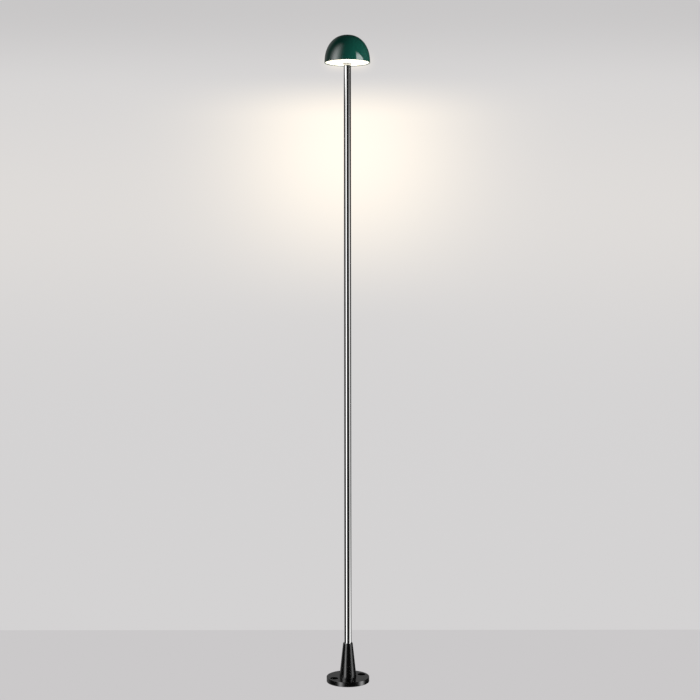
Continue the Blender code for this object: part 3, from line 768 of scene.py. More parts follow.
@dataclass(frozen=True)
class Extent:
    """The round space that a CAD node fills, read from the frame."""

    radius: float
    low: float
    high: float

    @classmethod
    def of(cls, node: str) -> Extent:
        """Reads a node that is centred on the pole's axis."""
        low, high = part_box(node)
        return cls((high[0] - low[0]) / 2, low[2], high[2])


@dataclass
class Screw:
    """A pan-head screw with a cross recess, pointing up from its head.

    Args:
        shank: Shank diameter.
        head: Head diameter.
        head_height: Height of the head.
        length: Length from the head's crown to the tip.
        crown: Radius of the crown's flat part, in head diameters.
        shoulder: Height at which the head reaches its full width, in head heights.
        pitch: Pitch of the thread, in shank diameters.
        root: Radius of the thread's root, in shank radii.
        recess: Length and width of an arm of the recess, in head diameters, and its height in head heights.
    """

    shank: float
    head: float
    head_height: float
    length: float
    crown: float = 0.3
    shoulder: float = 0.55
    pitch: float = 0.18
    root: float = 0.86
    recess: tuple[float, float, float] = (0.56, 0.14, 0.9)

    def build(self, shop: Workshop, name: str) -> bpy.types.Object:
        """Builds the screw at the origin, with its crown at height 0.

        Args:
            shop: The workshop.
            name: Name of the screw.

        Returns:
            The screw.
        """
        thread = self.shank / 2
        outline = Outline()
        outline.to(0, 0).to(self.head * self.crown, 0, self.head * self.crown, 5)
        outline.to(self.head / 2, self.head_height * self.shoulder, self.head_height * 0.2, 3)
        outline.to(self.head / 2, self.head_height, self.head_height * 0.1, 2)
        outline.to(thread, self.head_height)
        pitch = self.shank * self.pitch
        turns = int((self.length - self.head_height - thread) / pitch)
        for turn in range(turns):
            height = self.head_height + (turn + 0.5) * pitch
            outline.to(thread * self.root, height).to(thread, height + pitch / 2)
        outline.to(thread * 0.5, self.length).to(0, self.length)
        body = shop.turn(name, outline, 32, ZINC)
        long, wide, deep = self.recess
        arm = (self.head * long, self.head * wide, self.head_height * deep)
        for turn in (0, 90):
            bar = shop.block(f"{name}_recess_{turn}", arm, turn=turn)
            body = shop.combine(body, bar, "DIFFERENCE")
        return body


@dataclass(frozen=True)
class ScrewRing:
    """Three equal screws on a circle, in place of the CAD nodes NODE_1 to NODE_3.

    Args:
        node: The CAD nodes' name without its number.
        shank: Shank diameter.
        head: Head diameter.
        head_height: Height of the head.
        count: Number of screws.
    """

    node: str
    shank: float
    head: float
    head_height: float
    count: int = 3

    def circle(self) -> tuple[float, float]:
        """Gives the circle's radius and the first screw's angle in degrees.

        Returns:
            The radius and the angle.
        """
        low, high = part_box(self.node + "_1")
        middle = Vector(((low[0] + high[0]) / 2, (low[1] + high[1]) / 2))
        return middle.length, math.degrees(math.atan2(middle.y, middle.x))

    def build(self, shop: Workshop) -> None:
        """Builds the screws as one piece.

        Args:
            shop: The workshop.
        """
        low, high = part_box(self.node + "_1")
        radius, start = self.circle()
        screw = Screw(self.shank, self.head, self.head_height, high[2] - low[2]).build(shop, self.node)
        group = shop.set_round(self.node + "s", screw, self.count, radius, start, (0, 0, low[2]), ZINC)
        shop.hand_over(group, ZINC, [f"{self.node}_{n}" for n in range(1, self.count + 1)])


@dataclass
class Shade:
    """The dome shade with its beaded rim, the welded tabs and the opal disc.

    Args:
        fullness: Power of the dome's superellipse, 2 for an ellipse.
        wall: Wall thickness.
        bead_width: Width of the rim's bead.
        bead_height: Height of the rim's bead.
        tab: Length, width and thickness of a welded tab.
        tab_hole: Radius of a tab's hole.
        tab_circle: Radius of the circle of the tabs' holes.
        tab_count: Number of tabs.
        tab_start: Angle of the first tab, in degrees.
        facets: Facets round the shade.
    """

    fullness: float = 2.2
    wall: float = 0.0012
    bead_width: float = 0.0024
    bead_height: float = 0.0024
    tab: tuple[float, float, float] = (0.0158, 0.012, 0.002)
    tab_hole: float = 0.0023
    tab_circle: float = 0.050
    tab_count: int = 3
    tab_start: float = 30.0
    facets: int = 192

    def build(self, shop: Workshop) -> None:
        """Builds and dresses every piece of the shade.

        Args:
            shop: The workshop.
        """
        space = Extent.of("shade_dome")
        self.build_dome(shop, space)
        self.build_tabs(shop, space)
        self.build_disc(shop)

    def build_dome(self, shop: Workshop, space: Extent) -> None:
        """Builds the dome: the vault outside, the rolled bead at the rim, then the inner wall back up.

        Args:
            shop: The workshop.
            space: The space that the dome fills.
        """
        rise = space.high - space.low
        inner_r = space.radius - self.wall
        bead_r = space.radius - self.bead_width
        soft = self.bead_width * 0.14
        outline = Outline()
        outline.vault(space.low, (space.radius, rise), self.fullness, 90, 4, 72)
        outline.to(space.radius, space.low, soft, 6)
        outline.to(bead_r, space.low, soft, 6)
        outline.to(bead_r, space.low + self.bead_height, self.wall / 4, 3)
        outline.vault(space.low, (inner_r, rise - self.wall), self.fullness, 4, 90, 48)
        dome = shop.turn("shade_shell", outline, self.facets, ENAMEL)
        shop.hand_over(dome, ENAMEL, ["shade_dome"])

    def build_tabs(self, shop: Workshop, space: Extent) -> None:
        """Builds the welded tabs inside the shell, level with the pan's top.

        Args:
            shop: The workshop.
            space: The space that the dome fills.
        """
        length, width, thickness = self.tab
        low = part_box("reflector_pan")[1][2] + GAP
        share = (low + thickness - space.low) / (space.high - space.low - self.wall)
        inner_r = (space.radius - self.wall) * (1 - share**self.fullness) ** (1 / self.fullness)
        middle = inner_r - length / 2 + thickness / 5
        tab = shop.block("tab", (length, width, thickness), thickness / 5)
        hole = Outline().to(0, -thickness).to(self.tab_hole, -thickness)
        hole.to(self.tab_hole, thickness).to(0, thickness)
        cutter = shop.turn("tab_hole", hole, 32)
        shop.move(cutter, Matrix.Translation((self.tab_circle - middle, 0, 0)))
        tab = shop.combine(tab, cutter, "DIFFERENCE")
        centre = (0, 0, low + thickness / 2)
        tabs = shop.set_round("shade_tabs", tab, self.tab_count, middle, self.tab_start, centre, ENAMEL)
        shop.hand_over(tabs, ENAMEL)

    def build_disc(self, shop: Workshop) -> None:
        """Builds the opal disc with its soft outer edge.

        Args:
            shop: The workshop.
        """
        space = Extent.of("opal_diffuser")
        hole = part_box("threaded_tube")[1][0] + GAP
        edge = (space.high - space.low) * 0.3
        outline = Outline()
        outline.to(hole, space.low, edge / 2, 3)
        outline.to(space.radius * 0.7, space.low)
        outline.to(space.radius, space.low, edge, 5)
        outline.to(space.radius, space.high, edge / 2, 3)
        outline.to(hole, space.high)
        disc = shop.turn("opal_disc", outline, self.facets, OPAL)
        shop.hand_over(disc, OPAL, ["opal_diffuser"])


@dataclass
class LightSource:
    """The chips on the board and the screws of the board and the pan.

    Args:
        chip_count: Number of chips.
        chip_circle: Radius of the chips' circle.
        chip_side: Side of a chip.
        screws: The screws of the pan and the board.
    """

    chip_count: int = 8
    chip_circle: float = 0.034
    chip_side: float = 0.003
    screws: tuple[ScrewRing, ...] = (
        ScrewRing("pan_screw", 0.004, 0.007, 0.0022),
        ScrewRing("board_screw", 0.003, 0.0056, 0.0018),
    )

    def build(self, shop: Workshop) -> None:
        """Builds the chips, then both sets of screws.

        Args:
            shop: The workshop.
        """
        low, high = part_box("led_chip_1")
        height = high[2] - low[2]
        chip = shop.block("chip", (self.chip_side, self.chip_side, height), height / 6)
        first = math.degrees(math.atan2(low[1] + high[1], low[0] + high[0]))
        centre = (0, 0, (low[2] + high[2]) / 2)
        chips = shop.set_round("led_chips", chip, self.chip_count, self.chip_circle, first, centre, PHOSPHOR)
        shop.hand_over(chips, PHOSPHOR, [f"led_chip_{n}" for n in range(1, self.chip_count + 1)])
        for ring in self.screws:
            ring.build(shop)


@dataclass
class Pole:
    """The polished tube and the turned collar at its top.

    Args:
        wall: Wall of the tube.
        facets: Facets round the pole.
        collar_edge: Rounding of the collar's edges.
        groove_width: Width of the O-ring's groove, from the ring's outside inwards.
    """

    wall: float = 0.001
    facets: int = 96
    collar_edge: float = 0.0007
    groove_width: float = 0.0021

    def build(self, shop: Workshop) -> None:
        """Builds the tube and the collar.

        Args:
            shop: The workshop.
        """
        tube = Extent.of("pole_tube")
        bore = tube.radius - self.wall
        edge = self.wall * 0.3
        outline = Outline()
        outline.to(bore, tube.low, edge / 2, 2).to(tube.radius, tube.low, edge, 4)
        outline.to(tube.radius, tube.high, edge, 4).to(bore, tube.high, edge / 2, 2)
        piece = shop.turn("polished_pole", outline, self.facets, STAINLESS)
        shop.hand_over(piece, STAINLESS, ["pole_tube"])
        collar = Extent.of("neck_collar")
        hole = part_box("threaded_tube")[1][0] + GAP
        ring = Extent.of("neck_o_ring")
        groove_in, groove_out = ring.radius - self.groove_width, ring.radius + GAP
        soft = self.collar_edge
        outline = Outline()
        outline.to(hole, collar.low).to(tube.radius + soft, collar.low, soft / 3, 2)
        outline.to(collar.radius, collar.low + soft * 1.5, soft, 5)
        outline.to(collar.radius, collar.high, soft, 5)
        outline.to(groove_out, collar.high).to(groove_out, ring.low - GAP)
        outline.to(groove_in, ring.low - GAP).to(groove_in, collar.high).to(hole, collar.high)
        piece = shop.turn("turned_collar", outline, self.facets, STAINLESS)
        shop.hand_over(piece, STAINLESS, ["neck_collar"])


@dataclass
class Base:
    """The black casting with its fixing holes, its two grub screws and its cover.

    Args:
        flange_thickness: Thickness of the round flange.
        flange_edge: Rounding of the flange's upper edge.
        foot_r: Radius of the socket where it meets the flange.
        foot_fillet: Fillet where the socket meets the flange.
        top_r: Radius of the socket's top.
        top_edge: Rounding of the socket's top edge.
        hole: Diameter of a fixing hole.
        counterbore: Diameter of its counterbore.
        hole_floor: Height of the counterbore's floor.
        hole_circle: Radius of the circle of fixing holes.
        hole_angles: Angles of the fixing holes, in degrees.
        mouth_edge: Chamfer of the counterbore's mouth.
        lead_bore: Radius of the bore for the lead, under the pole.
        cover_ledge: Width of the ledge that the cover's gasket lies on.
        cavity_edge: Rounding of the cavity's roof.
        recess_edge: Rounding of the edge round the cover.
        grub_screws: CAD nodes of the grub screws.
        cover_screws: The screws of the cover.
        cover_hole: Radius of a screw hole in the cover.
        facets: Facets round the casting.
    """

    flange_thickness: float = 0.0134
    flange_edge: float = 0.0007
    foot_r: float = 0.02385
    foot_fillet: float = 0.0008
    top_r: float = 0.0135
    top_edge: float = 0.0007
    hole: float = 0.011
    counterbore: float = 0.022
    hole_floor: float = 0.006
    hole_circle: float = 0.043
    hole_angles: tuple[float, float] = (27.0, 207.0)
    mouth_edge: float = 0.0005
    lead_bore: float = 0.0075
    cover_ledge: float = 0.007
    cavity_edge: float = 0.001
    recess_edge: float = 0.0004
    grub_screws: tuple[str, ...] = ("grub_screw_upper", "grub_screw_lower")
    cover_screws: ScrewRing = ScrewRing("cover_screw", 0.003, 0.0058, 0.0019)
    cover_hole: float = 0.0018
    facets: int = 192

    def build(self, shop: Workshop) -> None:
        """Builds the casting, the grub screws and the cover with its screws.

        Args:
            shop: The workshop.
        """
        self.build_casting(shop)
        self.build_grub_screws(shop)
        self.build_cover(shop)

    def build_casting(self, shop: Workshop) -> None:
        """Builds the flange and socket, hollow below, then sinks the holes.

        Args:
            shop: The workshop.
        """
        space = Extent.of("base_casting")
        bore = Extent.of("pole_tube").radius + GAP
        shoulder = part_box("pole_tube")[0][2] - GAP
        recess = Extent.of("base_cover").radius + GAP
        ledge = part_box("cover_gasket")[1][2] + GAP
        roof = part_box("earth_lug")[1][2] + GAP
        cavity = recess - self.cover_ledge
        top = self.flange_thickness
        outline = Outline()
        outline.to(recess, 0.0, self.recess_edge, 2).to(space.radius, 0.0, self.flange_edge / 2, 4)
        outline.to(space.radius, top, self.flange_edge, 6)
        outline.to(self.foot_r, top, self.foot_fillet, 7)
        outline.to(self.top_r, space.high, self.top_edge, 5)
        outline.to(bore, space.high, self.top_edge / 3, 3)
        outline.to(bore, shoulder).to(self.lead_bore, shoulder).to(self.lead_bore, roof)
        outline.to(cavity, roof, self.cavity_edge, 3).to(cavity, ledge).to(recess, ledge)
        casting = shop.turn("cast_base", outline, self.facets, POWDER)
        for number, angle in enumerate(self.hole_angles):
            cutter = shop.turn(f"fixing_hole_{number}", self.hole_outline(), 64)
            shop.move(cutter, self.outwards(self.hole_circle, angle))
            casting = shop.combine(casting, cutter, "DIFFERENCE")
        for name in self.grub_screws:
            low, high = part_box(name)
            radius = (high[0] - low[0]) / 2 + GAP
            reach = self.foot_r * 1.4
            outline = Outline().to(0, 0).to(radius, 0).to(radius, reach).to(0, reach)
            cutter = shop.turn(name + "_tap", outline, 32)
            shop.move(cutter, self.across((low[2] + high[2]) / 2))
            casting = shop.combine(casting, cutter, "DIFFERENCE")
        shop.hand_over(casting, POWDER, ["base_casting"])

    def hole_outline(self) -> Outline:
        """Gives the stepped outline of a fixing hole, with a chamfered mouth.

        Returns:
            The outline.
        """
        top = self.flange_thickness
        hole_r, bore_r = self.hole / 2, self.counterbore / 2
        outline = Outline().to(0, -top).to(hole_r + self.mouth_edge * 2, -self.mouth_edge)
        outline.to(hole_r, self.mouth_edge).to(hole_r, self.hole_floor).to(bore_r, self.hole_floor)
        outline.to(bore_r, top - self.mouth_edge).to(bore_r + self.mouth_edge * 2, top + self.mouth_edge)
        return outline.to(0, top + self.mouth_edge * 2)

    def across(self, height: float) -> Matrix:
        """Turns +Z into +Y and lifts to a height, for what lies across the socket."""
        return Matrix.Translation((0, 0, height)) @ Matrix.Rotation(-math.pi / 2, 4, "X")

    def outwards(self, radius: float, angle: float) -> Matrix:
        """Moves outwards by a radius, in the direction of an angle in degrees."""
        return Matrix.Translation(Matrix.Rotation(math.radians(angle), 3, "Z") @ Vector((radius, 0, 0)))

    def build_grub_screws(self, shop: Workshop) -> None:
        """Builds the two grub screws with their thread ends and hexagon keys.

        Args:
            shop: The workshop.
        """
        for name in self.grub_screws:
            low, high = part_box(name)
            radius, inner, outer = (high[0] - low[0]) / 2, low[1], high[1]
            soft = radius * 0.16
            outline = Outline().to(0, inner).to(radius * 0.7, inner).to(radius, inner + radius * 0.3)
            outline.to(radius, outer, soft, 3).to(0, outer)
            grub = shop.turn(name + "_fine", outline, 48, ZINC)
            key = Outline().to(0, outer - radius * 0.8).to(radius * 0.55, outer - radius * 0.8)
            key.to(radius * 0.55, outer + radius).to(0, outer + radius)
            grub = shop.combine(grub, shop.turn(name + "_key", key, 6), "DIFFERENCE")
            shop.move(grub, self.across((low[2] + high[2]) / 2))
            shop.hand_over(grub, ZINC, [name])

    def build_cover(self, shop: Workshop) -> None:
        """Builds the round cover and its three screws.

        Args:
            shop: The workshop.
        """
        space = Extent.of("base_cover")
        radius, start = self.cover_screws.circle()
        gland_r = Extent.of("gland_cap").radius - Gland.thread_step + GAP
        edge = (space.high - space.low) * 0.25
        outline = Outline().to(gland_r, space.low, edge / 2, 2).to(space.radius, space.low, edge, 4)
        outline.to(space.radius, space.high, edge / 2, 2).to(gland_r, space.high)
        cover = shop.turn("underside_cover", outline, 128, POWDER)
        reach = space.high * 2
        for number in range(self.cover_screws.count):
            hole = Outline().to(0, 0).to(self.cover_hole, 0).to(self.cover_hole, reach).to(0, reach)
            cutter = shop.turn(f"cover_hole_{number}", hole, 32)
            shop.move(cutter, self.outwards(radius, start + 360 / self.cover_screws.count * number))
            cover = shop.combine(cover, cutter, "DIFFERENCE")
        shop.hand_over(cover, POWDER, ["base_cover"])
        self.cover_screws.build(shop)


@dataclass
class Gland:
    """The cable gland in the cover: its threaded body, its ribbed cap and the soft seal inside.

    Args:
        thread_step: How far the thread lies inside the cap's outside.
        bore: Radius of the bore.
        seal_bore: Radius of the seal's bore.
        lip: Height of the cap's rounded lip.
        rib: Height of a rib on the cap.
        rib_count: Number of ribs.
        edge: Rounding of most edges.
        soft_edge: Rounding of the softer edges.
        cap_edge: Rounding of the cap's upper edge.
        facets: Facets round the gland.
    """

    thread_step: float = 0.002
    bore: float = 0.0036
    seal_bore: float = 0.0034
    lip: float = 0.0009
    rib: float = 0.0004
    rib_count: int = 24
    edge: float = 0.0003
    soft_edge: float = 0.0004
    cap_edge: float = 0.0002
    facets: int = 64

    def build(self, shop: Workshop) -> None:
        """Builds the body, the cap and the seal.

        Args:
            shop: The workshop.
        """
        cap, seal = Extent.of("gland_cap"), Extent.of("gland_seal")
        thread = cap.radius - self.thread_step
        self.build_body(shop, cap, seal, thread)
        self.build_cap(shop, cap, thread)
        self.build_seal(shop, seal)

    def build_body(self, shop: Workshop, cap: Extent, seal: Extent, thread: float) -> None:
        """Builds the threaded body with its hexagon.

        Args:
            shop: The workshop.
            cap: The space that the cap fills.
            seal: The space that the seal fills.
            thread: Radius of the thread.
        """
        body = Extent.of("gland_body")
        seat, seat_top = seal.radius + GAP, seal.high + GAP
        outline = Outline().to(seat, body.low).to(thread, body.low, self.edge, 2)
        outline.to(thread, body.high, self.soft_edge, 3).to(self.bore, body.high, self.edge, 2)
        outline.to(self.bore, seat_top).to(seat, seat_top)
        piece = shop.turn("gland_thread", outline, self.facets, NYLON)
        hex_low, hex_high = cap.high + GAP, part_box("base_cover")[0][2] - GAP
        middle = (seat + thread) / 2
        ring = Outline().to(middle, hex_low).to(body.radius, hex_low, self.soft_edge, 2)
        ring.to(body.radius, hex_high, self.soft_edge, 2).to(middle, hex_high)
        piece = shop.combine(piece, shop.turn("gland_hexagon", ring, 6), "UNION")
        shop.hand_over(piece, NYLON, ["gland_body"])

    def build_cap(self, shop: Workshop, cap: Extent, thread: float) -> None:
        """Builds the cap and its ribs.

        Args:
            shop: The workshop.
            cap: The space that the cap fills.
            thread: Radius of the thread.
        """
        lip = self.lip
        shell = cap.radius - self.rib
        outline = Outline().to(self.bore, cap.low, self.edge, 2).to(shell - lip, cap.low, self.edge, 2)
        outline.to(shell, cap.low + lip, self.edge, 2).to(shell, cap.high, self.cap_edge, 2)
        outline.to(thread + GAP, cap.high).to(thread + GAP, cap.low + lip).to(self.bore, cap.low + lip)
        piece = shop.turn("gland_dome_cap", outline, self.facets, NYLON)
        shop.hand_over(piece, NYLON, ["gland_cap"])
        height = cap.high - cap.low - 2 * lip
        bar = shop.block("rib", (self.rib * 2, self.rib * 2, height), self.rib * 0.3)
        centre = (0, 0, cap.low + lip + height / 2)
        ribs = shop.set_round("gland_cap_ribs", bar, self.rib_count, shell, 0.0, centre, NYLON)
        shop.hand_over(ribs, NYLON)

    def build_seal(self, shop: Workshop, seal: Extent) -> None:
        """Builds the soft seal.

        Args:
            shop: The workshop.
            seal: The space that the seal fills.
        """
        inner, outer = self.soft_edge, self.edge
        outline = Outline().to(self.seal_bore, seal.low, inner, 3).to(seal.radius, seal.low, outer, 3)
        outline.to(seal.radius, seal.high, outer, 3).to(self.seal_bore, seal.high, inner, 3)
        piece = shop.turn("gland_soft_seal", outline, self.facets, RUBBER)
        shop.hand_over(piece, RUBBER, ["gland_seal"])


def dress_carried_over() -> None:
    """Gives each CAD node that keeps its shape its finish."""
    for finish, names in CARRIED_OVER.items():
        for name in names:
            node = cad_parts[name]
            node.data.materials.clear()
            node.data.materials.append(finish.material())
            LOG.info("%s: carried over, %s", name, finish.name)


@dataclass(frozen=True)
class Lobe:
    """A soft patch of light in the surroundings that glossy surfaces mirror.

    Args:
        azimuth: Direction of its middle, in degrees to the right of the front.
        width: Half width, in degrees.
        level: Brightness.
        lean: How far the middle turns for each degree of elevation.
        bottom: Elevation where it starts and where it is full, in degrees.
        top: Elevation where it starts to fade and where it is gone, in degrees.
    """

    azimuth: float
    width: float
    level: float
    lean: float = 0.0
    bottom: Point = (-90.0, -89.0)
    top: Point = (88.0, 90.0)


@dataclass(frozen=True)
class Pane:
    """A bright pane in the surroundings, with an upright edge and a leaning one, all in degrees.

    Args:
        level: Brightness.
        upright: Azimuths where the upright edge starts and where it is full.
        slant: Azimuths where the leaning edge starts to fade and where it is gone, at the horizon.
        lean: How far the leaning edge turns for each degree of elevation.
        sill: Elevations where the sill starts and where it is full.
        fade: Elevations where the top starts to fade and where it is gone.
    """

    level: float = 8.0
    upright: Point = (44.0, 50.0)
    slant: Point = (104.0, 112.0)
    lean: float = 1.9
    sill: Point = (10.0, 11.2)
    fade: Point = (15.0, 33.0)


@dataclass(frozen=True)
class Viewpoint:
    """The camera's lens and place.

    Args:
        lens: Focal length in millimetres.
        sensor: Width of the sensor in millimetres.
        place: Where the camera stands.
        dip: How far it is aimed below level, in radians.
        roll: Its roll, in radians.
    """

    lens: float = 70.011
    sensor: float = 36.0
    place: tuple[float, float, float] = (0.00685, -3.7843, 1.1279)
    dip: float = 0.05121
    roll: float = 0.0009


@dataclass(frozen=True)
class Glow:
    """A warm pool of light painted into the backdrop's own brightness, as the lit head throws.

    Args:
        color: Its colour.
        core: Brightness and half width of its core.
        core_top: Heights where the core ends at its top and where it is full.
        core_bottom: Heights where the core has faded out and where it starts to.
        haze: Brightness, height of the middle and half height of the wide haze.
        halo: Brightness, half width, height of the middle and half height of the halo round the head.
        dusk: Heights between which the backdrop darkens upwards as painted shade, and the darkening.
    """

    color: tuple[float, float, float] = (1.22, 1.0, 0.66)
    core: Point = (0.31, 0.36)
    core_top: Point = (1.785, 1.635)
    core_bottom: Point = (0.975, 1.570)
    haze: tuple[float, float, float] = (0.055, 1.36, 0.36)
    halo: tuple[float, float, float, float] = (0.28, 0.066, 1.819, 0.022)
    dusk: tuple[float, float, float] = (1.72, 2.0, 0.085)


@dataclass
class Studio:
    """The pale stage, the soft lights and the camera.

    Args:
        wall_distance: How far the backdrop is behind the light.
        stage_size: Size of the floor and the backdrop.
        wall_tone: Own brightness of the backdrop.
        floor_tone: Own brightness of the floor.
        glow: The painted pool of light on the backdrop.
        key_spot: Place of the key light.
        key_size: Its side.
        key_power: Its power in watts.
        key_spread: Angle of its beam in degrees.
        beyond: Brightness beyond the stage.
        ambient: Brightness of the surroundings for matt surfaces.
        mirror_ambient: Brightness of the surroundings for glossy surfaces, away from the lobes.
        pane: Bright pane that glossy surfaces mirror.
        viewpoint: The camera.
        lobes: Soft patches of light that glossy surfaces mirror.
    """

    wall_distance: float = 0.56
    stage_size: float = 14.0
    wall_tone: tuple[float, float, float] = (0.652, 0.642, 0.644)
    floor_tone: tuple[float, float, float] = (0.591, 0.578, 0.584)
    glow: Glow = Glow()
    key_spot: tuple[float, float, float] = (2.30, -1.50, 0.54)
    key_size: float = 1.5
    key_power: float = 17.0
    key_spread: float = 60.0
    beyond: float = 0.6
    ambient: float = 0.3
    mirror_ambient: float = 0.015
    pane: Pane = Pane()
    viewpoint: Viewpoint = Viewpoint()
    lobes: tuple[Lobe, ...] = (
        Lobe(-67.0, 22.0, 5.6, lean=0.25, bottom=(7.2, 11.2), top=(5.0, 70.0)),
        Lobe(95.0, 30.0, 0.15, bottom=(7.2, 11.2), top=(15.0, 40.0)),
        Lobe(-42.0, 13.0, 2.8, lean=-0.1, top=(7.2, 11.5)),
        Lobe(66.0, 14.0, 1.7, lean=-1.0, top=(0.0, 12.0)),
        Lobe(78.0, 14.0, 2.2, top=(-19.0, -9.0)),
        Lobe(-140.0, 25.0, 0.25, top=(30.0, 60.0)),
        Lobe(180.0, 16.0, 0.19, top=(20.0, 30.0)),
    )

    def build(self) -> None:
        """Builds the stage, the surroundings, the lights and the camera."""
        self.build_stage()
        self.build_surroundings()
        self.build_lights()
        self.build_camera()
        view = bpy.context.scene.view_settings
        view.view_transform = "Standard"
        view.look = "None"

    def stage_material(self, name: str, tone: Sequence[float], glow: Glow | None) -> bpy.types.Material:
        """Makes a plain finish with its own brightness that is seen from its front only.

        Args:
            name: Name of the material.
            tone: Its brightness.
            glow: The painted pool of light on it, if any.

        Returns:
            The material.
        """
        made = bpy.data.materials.new(name)
        made.use_nodes = True
        tree = made.node_tree
        sketch = Sketch(tree)
        shader = tree.nodes["Principled BSDF"]
        shader.inputs["Base Color"].default_value = (0.02, 0.02, 0.02, 1.0)
        shader.inputs["Roughness"].default_value = 0.9
        shader.inputs["Specular IOR Level"].default_value = 0.0
        shader.inputs["Emission Color"].default_value = (*tone, 1.0)
        shader.inputs["Emission Strength"].default_value = 1.0
        # Painted light: the pool of light, the halo and the darker top are drawn into the backdrop's own
        # brightness.
        if glow:
            tree.links.new(self.draw_glow(sketch, tone, glow), shader.inputs["Emission Color"])
        clear = sketch.node("ShaderNodeBsdfTransparent")
        back = sketch.node("ShaderNodeNewGeometry").outputs["Backfacing"]
        mix = sketch.node("ShaderNodeMixShader", {0: back, 1: shader.outputs[0], 2: clear.outputs[0]})
        tree.links.new(mix.outputs[0], tree.nodes["Material Output"].inputs["Surface"])
        return made

    def draw_glow(self, sketch: Sketch, tone: Sequence[float], glow: Glow) -> bpy.types.NodeSocket:
        """Draws the backdrop's brightness with painted light and shade: a core with soft ends, a wide haze, a
        halo and a darker top.

        Args:
            sketch: Where the nodes are drawn.
            tone: The backdrop's brightness away from the pool.
            glow: The pool of light.

        Returns:
            The output that holds the brightness.
        """
        coords = sketch.node("ShaderNodeTexCoord").outputs["Object"]
        split = sketch.node("ShaderNodeSeparateXYZ", {0: coords})
        height = split.outputs[2]
        core = sketch.math("MULTIPLY", self.bell(sketch, split.outputs[0], 0.0, glow.core[1]), glow.core[0])
        core = sketch.math("MULTIPLY", core, sketch.remap(height, *glow.core_top[::-1], 1.0, 0.0))
        core = sketch.math("MULTIPLY", core, sketch.remap(height, *glow.core_bottom, 0.0, 1.0))
        haze = sketch.math("MULTIPLY", self.bell(sketch, height, *glow.haze[1:]), glow.haze[0])
        # Painted light: a halo round the head, drawn into the backdrop.
        level, reach, middle, rise = glow.halo
        side = sketch.math("POWER", sketch.math("DIVIDE", sketch.math("ABSOLUTE", split.outputs[0]), reach), 4.0)
        side = sketch.math("EXPONENT", sketch.math("MULTIPLY", side, -1.0))
        halo = sketch.math("MULTIPLY", self.bell(sketch, height, middle, rise), level)
        pool = sketch.math("MULTIPLY_ADD", halo, side, sketch.math("ADD", core, haze))
        # Painted shade: the backdrop darkens towards its top.
        dusk = sketch.remap(height, glow.dusk[0], glow.dusk[1], 0.0, glow.dusk[2])
        channels = []
        for own, tint in zip(tone, glow.color):
            lit = sketch.math("MULTIPLY_ADD", pool, tint, own)
            channels.append(sketch.math("SUBTRACT", lit, dusk))
        return sketch.node("ShaderNodeCombineXYZ", dict(enumerate(channels))).outputs[0]

    def bell(self, sketch: Sketch, value: Any, middle: float, width: float) -> bpy.types.NodeSocket:
        """A bell curve of a value."""
        away = sketch.math("DIVIDE", sketch.math("SUBTRACT", value, middle), width)
        return sketch.math("EXPONENT", sketch.math("MULTIPLY", sketch.math("MULTIPLY", away, away), -1.0))

    def build_stage(self) -> None:
        """Builds the floor and the backdrop as two sheets."""
        half = self.stage_size / 2
        back = self.wall_distance
        floor = [(-half, -half, 0), (half, -half, 0), (half, back, 0), (-half, back, 0)]
        backdrop = [(-half, back, 0), (half, back, 0), (half, back, half), (-half, back, half)]
        sheets = (("floor", floor, self.floor_tone, None), ("backdrop", backdrop, self.wall_tone, self.glow))
        for name, corners, tone, glow in sheets:
            mesh = bpy.data.meshes.new(name)
            mesh.from_pydata(corners, [], [(0, 1, 2, 3)])
            mesh.materials.append(self.stage_material("stage_" + name, tone, glow))
            sheet = bpy.data.objects.new(name, mesh)
            bpy.context.scene.collection.objects.link(sheet)
            sheet.visible_glossy = False
            sheet.visible_diffuse = False
            sheet.visible_shadow = False

    def build_surroundings(self) -> None:
        """Builds the surroundings: plain grey to the eye and for matt surfaces, soft lobes for glossy ones."""
        world = bpy.data.worlds.new("soft_studio")
        bpy.context.scene.world = world
        world.use_nodes = True
        world.cycles.sampling_method = "NONE"
        tree = world.node_tree
        tree.nodes.clear()
        sketch = Sketch(tree)
        direction = sketch.node("ShaderNodeTexCoord").outputs["Generated"]
        split = sketch.node("ShaderNodeSeparateXYZ", {0: direction})
        ahead = sketch.math("MULTIPLY", split.outputs[1], -1.0)
        azimuth = sketch.math("DEGREES", sketch.math("ARCTAN2", split.outputs[0], ahead))
        elevation = sketch.math("DEGREES", sketch.math("ARCSINE", split.outputs[2]))
        total: bpy.types.NodeSocket | float = self.mirror_ambient
        for lobe in self.lobes:
            total = sketch.math("ADD", total, self.lobe_value(sketch, lobe, azimuth, elevation))
        total = sketch.math("ADD", total, self.pane_value(sketch, azimuth, elevation))
        mirrored = sketch.node("ShaderNodeBackground", {0: (1.0, 1.0, 1.0, 1.0), 1: total})
        plain = sketch.node("ShaderNodeBackground", {0: (1.0, 0.99, 0.985, 1.0), 1: self.ambient})
        seen = sketch.node("ShaderNodeBackground", {0: (1.0, 0.985, 0.985, 1.0), 1: self.beyond})
        path = sketch.node("ShaderNodeLightPath")
        lit = {0: path.outputs["Is Glossy Ray"], 1: plain.outputs[0], 2: mirrored.outputs[0]}
        around = sketch.node("ShaderNodeMixShader", lit)
        shown = {0: path.outputs["Is Camera Ray"], 1: around.outputs[0], 2: seen.outputs[0]}
        mix = sketch.node("ShaderNodeMixShader", shown)
        sketch.node("ShaderNodeOutputWorld", {0: mix.outputs[0]})

